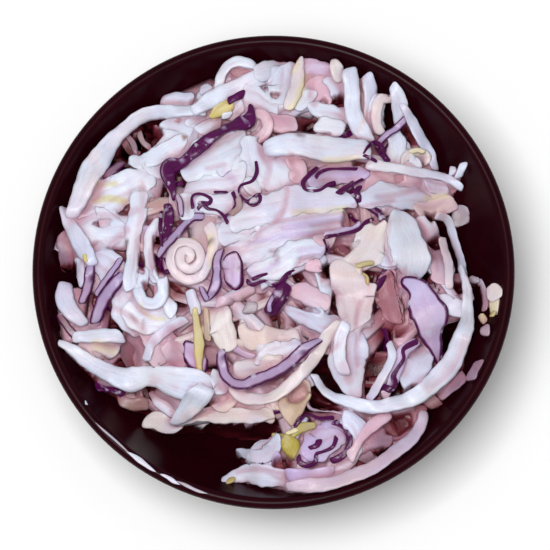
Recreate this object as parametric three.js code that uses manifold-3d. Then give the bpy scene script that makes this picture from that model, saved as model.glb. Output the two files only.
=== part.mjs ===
// Coleslaw served in a small round glazed bowl.
// Millimetres, +Z up. The origin is the centre of the foot ring, on the surface that the bowl
// stands on. +X is to the right and -Y is the side that faces the person who eats.
import * as THREE from "three";
import { mergeVertices } from "three/addons/utils/BufferGeometryUtils.js";
import Module from "manifold-3d";

// Driving dimensions of the bowl
const RIM_RADIUS = 60;
const BOWL_HEIGHT = 44;
const WALL = 3;
const FLOOR_LEVEL = 5; // top of the floor, at the middle
const WALL_CENTRE_ABOVE_RIM = 26; // the wall is an ellipse, centred this far above the rim
const FOOT_RADIUS = 25;
const FOOT_WIDTH = 3;

// Driving dimensions of the slaw
const CLEARANCE = 0.35; // between the slaw and the glaze
const MOUND_CLEARANCE = 0.8;
const EDGE_LEVEL = 38; // where the heap meets the wall
const CROWN_LEVEL = 50; // the middle of the heap, without the shreds on top
const LUMP_HEIGHT = 1.6;
const LUMP_PITCH = 17;

// Faceting
const BOWL_SEGMENTS = 64;
const WALL_STEPS = 8;
const RIM_STEPS = 6;
const MOUND_SEGMENTS = 48;
const MOUND_RINGS = 16;
const SHRED_STEP = 4.5; // length of a facet along a shred
const SHRED_SIDES = 4; // pairs of sides

// Where the heap dips below its usual edge level: the middle of the dip and its half-width in
// degrees round the bowl, and how far the edge drops.
const HOLLOWS = {
  front_left: { angle: 238, halfWidth: 38, drop: 18 },
  right: { angle: 24, halfWidth: 40, drop: 8 },
  back_left: { angle: 126, halfWidth: 26, drop: 6 },
};

// The large shreds that lie on top: each is a strip that runs through places in plan.
const SHREDS = [
  { name: "back_left_hoop", width: 5.6, thickness: 3, route: [[-52, 12], [-45, 27], [-33, 38], [-21, 40]] },
  { name: "back_hoop", width: 4, thickness: 2.8, route: [[-21, 38], [-13, 46], [-3, 49]] },
  { name: "back_baton", width: 4.4, thickness: 3.2, route: [[15, 51], [20, 42], [23, 32]] },
  { name: "right_rib", width: 3.4, thickness: 2.8, route: [[31, 45], [36, 37], [40, 26]] },
  { name: "middle_baton", width: 5.6, thickness: 4, route: [[1, 32], [12, 31], [24, 29]] },
  { name: "centre_baton", width: 4.6, thickness: 3.4, route: [[4, 14], [22, 17], [39, 20]] },
  { name: "broad_leaf", width: 10, thickness: 3.4, route: [[33, 15], [34, 7], [33, -1]] },
  { name: "purple_leaf", width: 8, thickness: 3, route: [[36, -4], [39, -13], [38, -24]] },
  {
    name: "big_loop",
    width: 4.8,
    thickness: 3.2,
    route: [[46, 3], [50, -9], [48, -19], [40, -30], [29, -34], [18, -32], [9, -26]],
  },
  { name: "trunk", width: 7, thickness: 3.6, route: [[20, -1], [22, -12], [18, -24], [22, -31]] },
  { name: "front_loop", width: 4.2, thickness: 3, route: [[-13, -21], [-8, -29], [3, -31], [17, -14]] },
  { name: "purple_shred", width: 3.8, thickness: 3, route: [[-5, 40], [-21, 29], [-26, 20], [-28, 4]] },
  { name: "left_coil", width: 3.6, thickness: 3.2, route: [[-17, 4], [-22, 8], [-27, 2], [-22, -3]] },
  { name: "left_fork", width: 4.4, thickness: 3, route: [[-32, 20], [-36, 9], [-33, -9]] },
  { name: "left_rib", width: 4.2, thickness: 3, route: [[-53, 14], [-49, 5], [-43, -4]] },
  { name: "left_spar", width: 5, thickness: 3.2, route: [[-53, -17], [-43, -25], [-32, -27], [-19, -26]] },
  { name: "front_bar", width: 4.6, thickness: 3, route: [[-24, -37], [-10, -38], [2, -37]] },
  { name: "front_rib", width: 4.8, thickness: 3.2, route: [[5, -51], [21, -49], [33, -42], [37, -35]] },
];
const SHRED_SEAT = 0.3; // how far a shred's middle stands above the mound, as a share of thickness

const radians = THREE.MathUtils.degToRad;

// The middle line of the bowl's wall is a stretch of an ellipse. `turn` is 0 at the middle of the
// floor and grows towards the rim.
const ellipseCentreZ = BOWL_HEIGHT + WALL_CENTRE_ABOVE_RIM;
const ellipseDepth = ellipseCentreZ - FLOOR_LEVEL + WALL / 2;
const rimCentre = new THREE.Vector2(RIM_RADIUS - WALL / 2, BOWL_HEIGHT - WALL / 2);
const rimTurn = Math.acos((ellipseCentreZ - rimCentre.y) / ellipseDepth);
const ellipseWidth = rimCentre.x / Math.sin(rimTurn);

// A point of the wall in the half-plane of the profile, `inward` from the wall's middle line.
function wallPoint(turn, inward) {
  const normal = new THREE.Vector2(
    -Math.sin(turn) / ellipseWidth,
    Math.cos(turn) / ellipseDepth,
  ).normalize();
  return new THREE.Vector2(
    ellipseWidth * Math.sin(turn) + normal.x * inward,
    ellipseCentreZ - ellipseDepth * Math.cos(turn) + normal.y * inward,
  );
}

// The turn at which the wall, `inward` from its middle line, has the given radius or height.
function turnWhere(axis, value, inward) {
  let low = 0;
  let high = rimTurn;
  for (let i = 0; i < 40; i += 1) {
    const middle = (low + high) / 2;
    if (wallPoint(middle, inward)[axis] < value) low = middle;
    else high = middle;
  }
  return (low + high) / 2;
}

function wallStretch(fromTurn, toTurn, inward, steps) {
  const points = [];
  for (let i = 0; i <= steps; i += 1) {
    points.push(wallPoint(fromTurn + ((toTurn - fromTurn) * i) / steps, inward));
  }
  return points;
}

// The bowl's profile, from the underside's middle, round the foot ring, up the outside, over the
// rounded rim and down the inside to the middle of the floor.
function bowlProfile() {
  const outside = -WALL / 2;
  const footInner = turnWhere("x", FOOT_RADIUS - FOOT_WIDTH, outside);
  const footOuter = turnWhere("x", FOOT_RADIUS, outside);
  const lean = Math.atan2(
    Math.sin(rimTurn) * ellipseDepth,
    Math.cos(rimTurn) * ellipseWidth,
  );
  const rim = [];
  for (let i = 1; i < RIM_STEPS; i += 1) {
    const angle = lean - Math.PI / 2 + (Math.PI * i) / RIM_STEPS;
    rim.push(
      new THREE.Vector2(
        rimCentre.x + (WALL / 2) * Math.cos(angle),
        rimCentre.y + (WALL / 2) * Math.sin(angle),
      ),
    );
  }
  const underside = wallStretch(0, footInner, outside, 2);
  underside[0].x = 0;
  const inside = wallStretch(rimTurn, 0, -outside, WALL_STEPS);
  inside[WALL_STEPS].x = 0;
  return [
    ...underside,
    new THREE.Vector2(FOOT_RADIUS - FOOT_WIDTH, 0),
    new THREE.Vector2(FOOT_RADIUS, 0),
    ...wallStretch(footOuter, rimTurn, outside, WALL_STEPS),
    ...rim,
    ...inside,
  ];
}

// A lathe turned about Z: LatheGeometry turns about Y.
function lathe(profile, segments) {
  return new THREE.LatheGeometry(profile, segments).rotateX(Math.PI / 2);
}

// A smooth bump that is 1 at the middle of a hollow and 0 at its two ends.
function hollowShare(angle, hollow) {
  const away = Math.abs(((angle - radians(hollow.angle) + 3 * Math.PI) % (2 * Math.PI)) - Math.PI);
  const share = Math.min(1, away / radians(hollow.halfWidth));
  return (1 + Math.cos(Math.PI * share)) / 2;
}

// The level at which the heap meets the wall, in the direction `angle`.
function edgeLevel(angle) {
  let level = EDGE_LEVEL;
  for (const hollow of Object.values(HOLLOWS)) level -= hollow.drop * hollowShare(angle, hollow);
  return level;
}

const slawInward = WALL / 2 + MOUND_CLEARANCE;

function edgeTurn(angle) {
  return turnWhere("y", edgeLevel(angle), slawInward);
}

// Low lumps, as a tangle of shreds has under its top layer.
function lumps(x, y) {
  const pitch = (2 * Math.PI) / LUMP_PITCH;
  const across = Math.sin(pitch * x + 1.3 * Math.sin(pitch * 0.6 * y));
  const along = Math.cos(pitch * 1.2 * y + 0.8 * Math.sin(pitch * x));
  return (LUMP_HEIGHT / 2) * (across + along);
}

// The height of the mound's top at a place in plan.
function moundTop(x, y) {
  const angle = Math.atan2(y, x);
  const level = edgeLevel(angle);
  const reach = wallPoint(edgeTurn(angle), slawInward).x;
  const share = Math.min(1, Math.hypot(x, y) / reach);
  return level + (CROWN_LEVEL - level) * (1 - share ** 3) + lumps(x, y) * (1 - share ** 4);
}

// The mound: a ball drawn out so that its lower half lies on the bowl and its upper half is the
// uneven top of the heap.
function moundGeometry() {
  const ball = new THREE.SphereGeometry(1, MOUND_SEGMENTS, MOUND_RINGS).rotateX(Math.PI / 2);
  const position = ball.getAttribute("position");
  for (let i = 0; i < position.count; i += 1) {
    const angle = Math.atan2(position.getY(i), position.getX(i));
    const polar = Math.acos(THREE.MathUtils.clamp(position.getZ(i), -1, 1)) / (Math.PI / 2);
    if (polar > 1) {
      const under = wallPoint(edgeTurn(angle) * (2 - polar), slawInward);
      position.setXYZ(i, under.x * Math.cos(angle), under.x * Math.sin(angle), under.y);
    } else {
      const reach = wallPoint(edgeTurn(angle), slawInward).x * polar;
      const x = reach * Math.cos(angle);
      const y = reach * Math.sin(angle);
      position.setXYZ(i, x, y, polar === 1 ? edgeLevel(angle) : moundTop(x, y));
    }
  }
  return ball;
}

// The level that something laid on the slaw rests on: the mound, or past its edge the bowl's wall.
function restLevel(x, y) {
  const radius = Math.min(Math.hypot(x, y), rimCentre.x);
  const wall = ellipseCentreZ - ellipseDepth * Math.sqrt(1 - (radius / ellipseWidth) ** 2);
  return Math.max(moundTop(x, y), wall + WALL);
}

// A strip of cabbage on top of the mound.
function shredGeometry({ route, width, thickness }) {
  const plan = new THREE.SplineCurve(route.map(([x, y]) => new THREE.Vector2(x, y)));
  const steps = Math.ceil(plan.getLength() / SHRED_STEP);
  const middle = plan
    .getSpacedPoints(steps)
    .map((p) => new THREE.Vector3(p.x, p.y, restLevel(p.x, p.y) + SHRED_SEAT * thickness));
  const section = new THREE.Shape().absellipse(0, 0, thickness / 2, width / 2, 0, 2 * Math.PI);
  return new THREE.ExtrudeGeometry(section, {
    steps,
    curveSegments: SHRED_SIDES,
    extrudePath: new THREE.CatmullRomCurve3(middle),
  });
}

// The space inside the bowl, a clearance away from the glaze and open upwards.
function cavityGeometry() {
  const inward = WALL / 2 + CLEARANCE;
  const skin = wallStretch(0, rimTurn, inward, 2 * WALL_STEPS);
  skin[0].x = 0;
  const lip = skin[skin.length - 1];
  const above = CROWN_LEVEL + BOWL_HEIGHT;
  return lathe(
    [...skin, new THREE.Vector2(lip.x, above), new THREE.Vector2(0, above)],
    BOWL_SEGMENTS,
  );
}

const wasm = await Module();
wasm.setup();

// A closed three.js geometry as a solid that can be joined and cut.
function solidOf(geometry) {
  const bare = new THREE.BufferGeometry();
  bare.setAttribute("position", geometry.getAttribute("position"));
  bare.setIndex(geometry.index);
  const merged = mergeVertices(bare, 1e-3);
  return new wasm.Manifold(
    new wasm.Mesh({
      numProp: 3,
      vertProperties: merged.attributes.position.array,
      triVerts: new Uint32Array(merged.index.array),
    }),
  );
}

function geometryOf(solid) {
  const mesh = solid.getMesh();
  const geometry = new THREE.BufferGeometry();
  geometry.setAttribute("position", new THREE.BufferAttribute(mesh.vertProperties, 3));
  geometry.setIndex(new THREE.BufferAttribute(mesh.triVerts, 1));
  geometry.computeVertexNormals();
  return geometry;
}

// The heap: the mound with its large shreds, kept inside the bowl.
function slawGeometry() {
  let heap = solidOf(moundGeometry());
  for (const shred of SHREDS) heap = heap.add(solidOf(shredGeometry(shred)));
  return geometryOf(heap.intersect(solidOf(cavityGeometry())));
}

const bowl = new THREE.Mesh(
  lathe(bowlProfile(), BOWL_SEGMENTS),
  new THREE.MeshStandardMaterial({ color: 0x2b0f14, roughness: 0.2, metalness: 0 }),
);
bowl.name = "bowl";

const coleslaw = new THREE.Mesh(
  slawGeometry(),
  new THREE.MeshStandardMaterial({ color: 0xe4dbe6, roughness: 0.45, metalness: 0 }),
);
coleslaw.name = "coleslaw";

const part = new THREE.Group();
part.add(bowl, coleslaw);

export default part;
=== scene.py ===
import functools
import math
import random

import bmesh
import bpy
import numpy as np
from bpy.props import FloatProperty, FloatVectorProperty, IntProperty, PointerProperty
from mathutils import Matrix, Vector


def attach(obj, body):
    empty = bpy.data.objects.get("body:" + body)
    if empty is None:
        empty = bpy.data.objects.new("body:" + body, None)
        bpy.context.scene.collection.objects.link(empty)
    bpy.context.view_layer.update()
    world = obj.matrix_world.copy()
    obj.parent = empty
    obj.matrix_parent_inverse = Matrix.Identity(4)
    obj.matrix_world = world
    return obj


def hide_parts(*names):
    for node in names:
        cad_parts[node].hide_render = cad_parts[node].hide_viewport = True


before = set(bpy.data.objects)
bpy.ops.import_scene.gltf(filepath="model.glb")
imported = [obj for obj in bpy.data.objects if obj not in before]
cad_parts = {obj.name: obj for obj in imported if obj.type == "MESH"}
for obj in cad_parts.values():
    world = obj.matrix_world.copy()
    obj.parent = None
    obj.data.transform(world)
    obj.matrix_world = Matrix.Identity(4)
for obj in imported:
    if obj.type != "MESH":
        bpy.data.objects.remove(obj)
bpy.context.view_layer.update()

bl_info = {
    "name": "Coleslaw in a bowl",
    "version": (1, 0, 0),
    "blender": (4, 5, 0),
    "location": "3D View > Sidebar > Coleslaw",
    "description": "A helping of red and white cabbage slaw in a small glazed bowl",
    "category": "Add Mesh",
}

# A millimetre in metres. Sizes are worked out in mm and turned into metres where a mesh is made.
MM = 0.001

# The bowl, in mm: the middle line of its wall is a stretch of an ellipse whose centre is over the rim.
RIM_RADIUS = 60
BOWL_HEIGHT = 44
WALL = 3
FLOOR_LEVEL = 5
CENTRE_OVER_RIM = 26
ELLIPSE_Z = BOWL_HEIGHT + CENTRE_OVER_RIM
ELLIPSE_DEPTH = ELLIPSE_Z - FLOOR_LEVEL + WALL / 2
RIM_CENTRE = (RIM_RADIUS - WALL / 2, BOWL_HEIGHT - WALL / 2)
RIM_TURN = math.acos((ELLIPSE_Z - RIM_CENTRE[1]) / ELLIPSE_DEPTH)
ELLIPSE_WIDTH = RIM_CENTRE[0] / math.sin(RIM_TURN)

# The camera looks down at the table this steeply.
CAMERA_ELEVATION = math.radians(79)


def linear(code):
    """An sRGB hex colour as linear red, green, blue and alpha."""
    parts = [int(code[i : i + 2], 16) / 255 for i in (0, 2, 4)]
    return tuple(c / 12.92 if c <= 0.04045 else ((c + 0.055) / 1.055) ** 2.4 for c in parts) + (1.0,)


def wall_point(turn, inward):
    """A point of the bowl's wall in its profile, `inward` of the wall's middle line."""
    across = -math.sin(turn) / ELLIPSE_WIDTH
    up = math.cos(turn) / ELLIPSE_DEPTH
    size = math.hypot(across, up)
    return (
        ELLIPSE_WIDTH * math.sin(turn) + across / size * inward,
        ELLIPSE_Z - ELLIPSE_DEPTH * math.cos(turn) + up / size * inward,
    )


# The profile of the bowl's inside, from the middle of its floor to its rim.
INSIDE = np.array([wall_point(t, WALL / 2) for t in np.linspace(0, RIM_TURN, 80)])


def wall_level(radius):
    """The level of the bowl's inside at that radius."""
    return np.interp(radius, INSIDE[:, 0], INSIDE[:, 1])


def wall_radius(level):
    """The radius of the bowl's inside at that level."""
    return np.interp(level, INSIDE[:, 1], INSIDE[:, 0])


# ---------------------------------------------------------------- what lies where

# The level of the slaw's top at the wall and in the middle, in mm.
EDGE_LEVEL = 37
CROWN_LEVEL = 49
# Where it dips at the wall: the middle and half-width of the dip in degrees, and its drop in mm.
HOLLOWS = ((238, 38, 14.5), (18, 40, 11), (126, 26, 6))

# Gaps that the top shreds leave open: depth in mm, what shows in them (wine, brown and tan are
# painted shade in the gap), and their outline as the camera sees it, in mm.
GAPS = (
    (6, "brown", ((-29.4, 4.4), (-28, 4.8), (-27.6, 1.6), (-27, -1.6), (-28, -2.4), (-29, 0.4))),
    (14, "wine", (
        (-31, -42.6), (-26, -42.4), (-17, -42.6), (-9, -42.4), (-3, -42), (-1, -42.4), (-1.8, -43.6),
        (-3.6, -44.4), (-8, -45), (-10.4, -46), (-8.6, -48.6), (-11.6, -50.8), (-15, -53), (-24, -50),
        (-30, -46),
    )),
    (7.5, "wine", (
        (-36, 35.2), (-30.9, 37.4), (-28.3, 35.9), (-27.9, 34.1), (-30, 31.8), (-32.2, 30.9),
        (-34.3, 29.8), (-36.4, 29.6), (-36.9, 25.4), (-39.9, 24.1), (-43.1, 22.6), (-40.7, 25.9),
        (-39, 28.9), (-38.1, 32),
    )),
    (2.5, "amber", ((-31.8, 15.9), (-30.5, 18.5), (-28.3, 18), (-25.8, 16.3), (-28.3, 15.3), (-30, 16.3))),
    (3, "brown", ((-31.6, 13), (-29.7, 13.2), (-31.3, 11))),
    (5.2, "wine", ((-45, 11.6), (-43.3, 12.3), (-40.7, 12.4), (-41.5, 11.2), (-43.3, 10.8))),
    (3.9, "brown", ((-33.3, 4.2), (-32.4, 2.4), (-32.2, -1), (-33.5, -0.6))),
    (3.4, "brown", ((-29.8, 8.6), (-28.6, 7), (-28, 3), (-29.4, 2.6))),
    (1.6, "amber", ((-24.8, 37.4), (-23.4, 37.6), (-24, 36.8))),
    (1.6, "amber", ((-22.7, 34), (-21.8, 33.4), (-22.4, 32.2))),
    (6, "wine", ((-2.4, 34.4), (-0.8, 35.4), (-0.2, 34), (-1.2, 33.2))),
    (3.4, "amber", ((-4, 32.8), (-1.4, 35.9), (0.3, 35.4), (1.6, 34.1), (-0.4, 33.3), (-1.9, 31.2))),
    (3.9, "wine", ((-0.8, 45.3), (1.6, 45.3), (0.7, 44), (-0.2, 44.2))),
    (3.9, "wine", ((11.6, 43.2), (12.8, 44), (13.6, 42.9))),
    (6.5, "wine", ((14.9, 44.2), (17.2, 44.9), (17.5, 42.8), (16.3, 42.3), (15.2, 43.3))),
    (4.4, "amber", (
        (7.6, 38.1), (8.6, 38.8), (11.4, 39.5), (9.7, 37.6), (9.5, 35.9), (9.7, 34.5), (7.8, 34.7),
    )),
    (5.2, "wine", ((18.9, 38.2), (19.8, 36.8), (18.9, 34.9), (18, 35.7))),
    (3.9, "brown", ((12.4, 34.8), (14.1, 35.4), (13.4, 34.3))),
    (11.7, "wine", (
        (26.3, 45.2), (27.4, 46.8), (27.4, 48.5), (28.7, 48.1), (29.5, 46.8), (29.1, 44.2),
        (27.8, 44.6),
    )),
    (9.1, "wine", ((28.4, 40.8), (30, 40.9), (31.3, 38.5), (30.4, 36.9), (28.7, 37.1), (27.9, 38.9))),
    (3, "brown", ((33.2, 37.2), (34.7, 35.4), (37, 31.4), (35.1, 31.8), (33.4, 34.1), (32.1, 35))),
    (3.9, "wine", ((30.5, 23.8), (31.9, 24.4), (32.2, 23.3), (31, 22.5))),
    (2.6, "brown", ((17.4, 14.6), (19.3, 15), (20.8, 12.4), (19.3, 11.1), (17, 11.2))),
    (2.4, "brown", ((23.6, 12.4), (25.3, 13.5), (29.5, 16.4), (27.8, 12.8), (25.3, 11))),
    (6, "brown", (
        (15.5, 5.6), (17, 6.4), (19, 6), (21.3, 7.4), (18.6, 4.5), (16.3, 2.4), (14.4, 1.6),
        (15.4, 3.7),
    )),
    (4.4, "brown", ((11.8, -0.4), (12.8, 1.1), (14, 1.3), (13, -0.6))),
    (6.5, "wine", ((38.1, 13.9), (40, 13.4), (40.7, 14.2), (39.8, 11.4), (38.5, 12.6))),
    (6.5, "wine", ((38.6, 6.3), (41.9, 9.3), (43.3, 9.9), (41.7, 8), (41.9, 5.3), (40.6, 4.9))),
    (9.1, "wine", ((43.8, 9.8), (44.9, 6), (45.6, 1), (44.9, 0.8), (44, 6))),
    (10.4, "wine", ((-53.4, 1), (-49.4, 1.2), (-49.3, -2.4), (-52, -1.5))),
    (3.4, "amber", ((-32.5, -3.3), (-31.2, -3.4), (-29.8, -6.1), (-31.4, -6.2))),
    (2.9, "tan", ((-25.8, -1.3), (-25, -2.8), (-22.6, -5.8), (-21.8, -8.4), (-23.8, -8), (-25.9, -6.3))),
    (3, "brown", ((-11.5, -9.4), (-9.8, -7.9), (-7, -8.8), (-8, -10.6), (-10, -12))),
    (3.9, "tan", ((-8, -7.6), (-5, -6.4), (-0.8, -5.8), (-2.6, -8.6), (-5, -7.8))),
    (3, "brown", ((-8.8, -11.8), (-4.4, -11.2), (-2, -13.2), (-3.6, -15.2), (-6, -14.6), (-6.8, -12.6))),
    (5.5, "wine", (
        (-36.9, -17.8), (-35.2, -19.8), (-35.4, -22.4), (-35, -24.4), (-36.6, -24.2), (-38.8, -25.5),
        (-40.7, -24.6), (-42.8, -22.8), (-44.4, -21.3), (-42, -22.2), (-39.9, -23.2), (-38.2, -22.4),
        (-37.7, -19.3),
    )),
    (6.5, "wine", (
        (-16.7, -19.1), (-14.7, -19.8), (-13.8, -22.4), (-14.7, -24.8), (-15.7, -22.8), (-16.9, -20.6),
    )),
    (6.5, "wine", (
        (-33, -30.6), (-31.8, -28.8), (-29.6, -28.4), (-26.6, -30.8), (-29, -30.6), (-30.6, -32.4),
        (-30.6, -34), (-32, -33),
    )),
    (4.7, "wine", ((-20.2, -36.2), (-16.8, -35.2), (-13.8, -34.8), (-16.6, -36.2))),
    (2.4, "tan", ((-29.2, -20), (-26.5, -23.8), (-30, -24))),
    (5.2, "wine", ((14.8, -6), (16.8, -8.2), (16.6, -9.6), (14.6, -8))),
    (3, "brown", ((27, -36.4), (30, -36.6), (34, -36), (34.4, -39), (31, -41.6), (28, -41.4))),
    (2.4, "tan", ((4, -29), (7.6, -28.6), (9, -31), (6, -33.4), (3.6, -33))),
    (5.2, "brown", ((3.6, -8.4), (7, -9.2), (11.3, -11.2), (8, -10.6))),
    (6.5, "wine", ((-1, -11.8), (2, -11.8), (6, -13.6), (3, -14.6), (0, -14))),
    (2.8, "brown", (
        (25.3, -2.8), (29.5, -0.6), (30.4, -2.6), (31.6, -6.7), (33, -11), (33.6, -14.4), (30, -15),
        (25, -15), (25.2, -11), (25.3, -5.8),
    )),
    (5, "wine", (
        (24.6, -14), (30, -14.6), (34, -13.4), (34.4, -15.8), (28.7, -17), (27.8, -24), (25.3, -28.3),
        (23, -29.9), (22.6, -25.9), (23.4, -22.4), (25, -21),
    )),
    (10.4, "wine", ((10.1, -24.4), (13.7, -24), (14.6, -26.6), (16.8, -28), (15, -30.2), (12.3, -28.3))),
    (10.4, "wine", ((43.8, -12.6), (46.1, -12.6), (43.2, -19.9), (42, -17.2))),
    (9, "wine", ((49.6, -4.6), (51.4, -4.6), (51.9, -9), (51.4, -10.6), (50, -8))),
    (6.5, "brown", ((47.7, -5.8), (44.9, -7.1), (44.4, -5.4), (44.9, -3.2), (47.5, -3.2))),
    (5.2, "brown", ((38, -27.2), (40, -24.5), (40.3, -26.7), (38.9, -28))),
    (2.5, "wine", ((32, -30.9), (34.2, -29.2), (35.9, -29.2), (35.9, -30.4), (33.8, -31.7))),
    (3.9, "brown", ((36.2, -1.8), (37.6, -0.4), (38.9, -1), (38.6, -3), (37.4, -3))),
    (7.8, "wine", ((20.6, -49.9), (21.6, -48), (24.4, -46.2), (27.5, -45.4), (27, -46.4), (23.6, -48.6))),
    (5.2, "wine", ((0, -48.4), (3, -47.8), (7, -49.6), (3, -50.4), (0, -49.8))),
    (3, "brown", ((4, -2), (6, -0.6), (7.4, -1.6), (6, -3))),
    (8.6, "wine", ((9.4, -32), (14, -32.8), (17, -34.4), (12, -34.4), (9, -33.6))),
)
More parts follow.
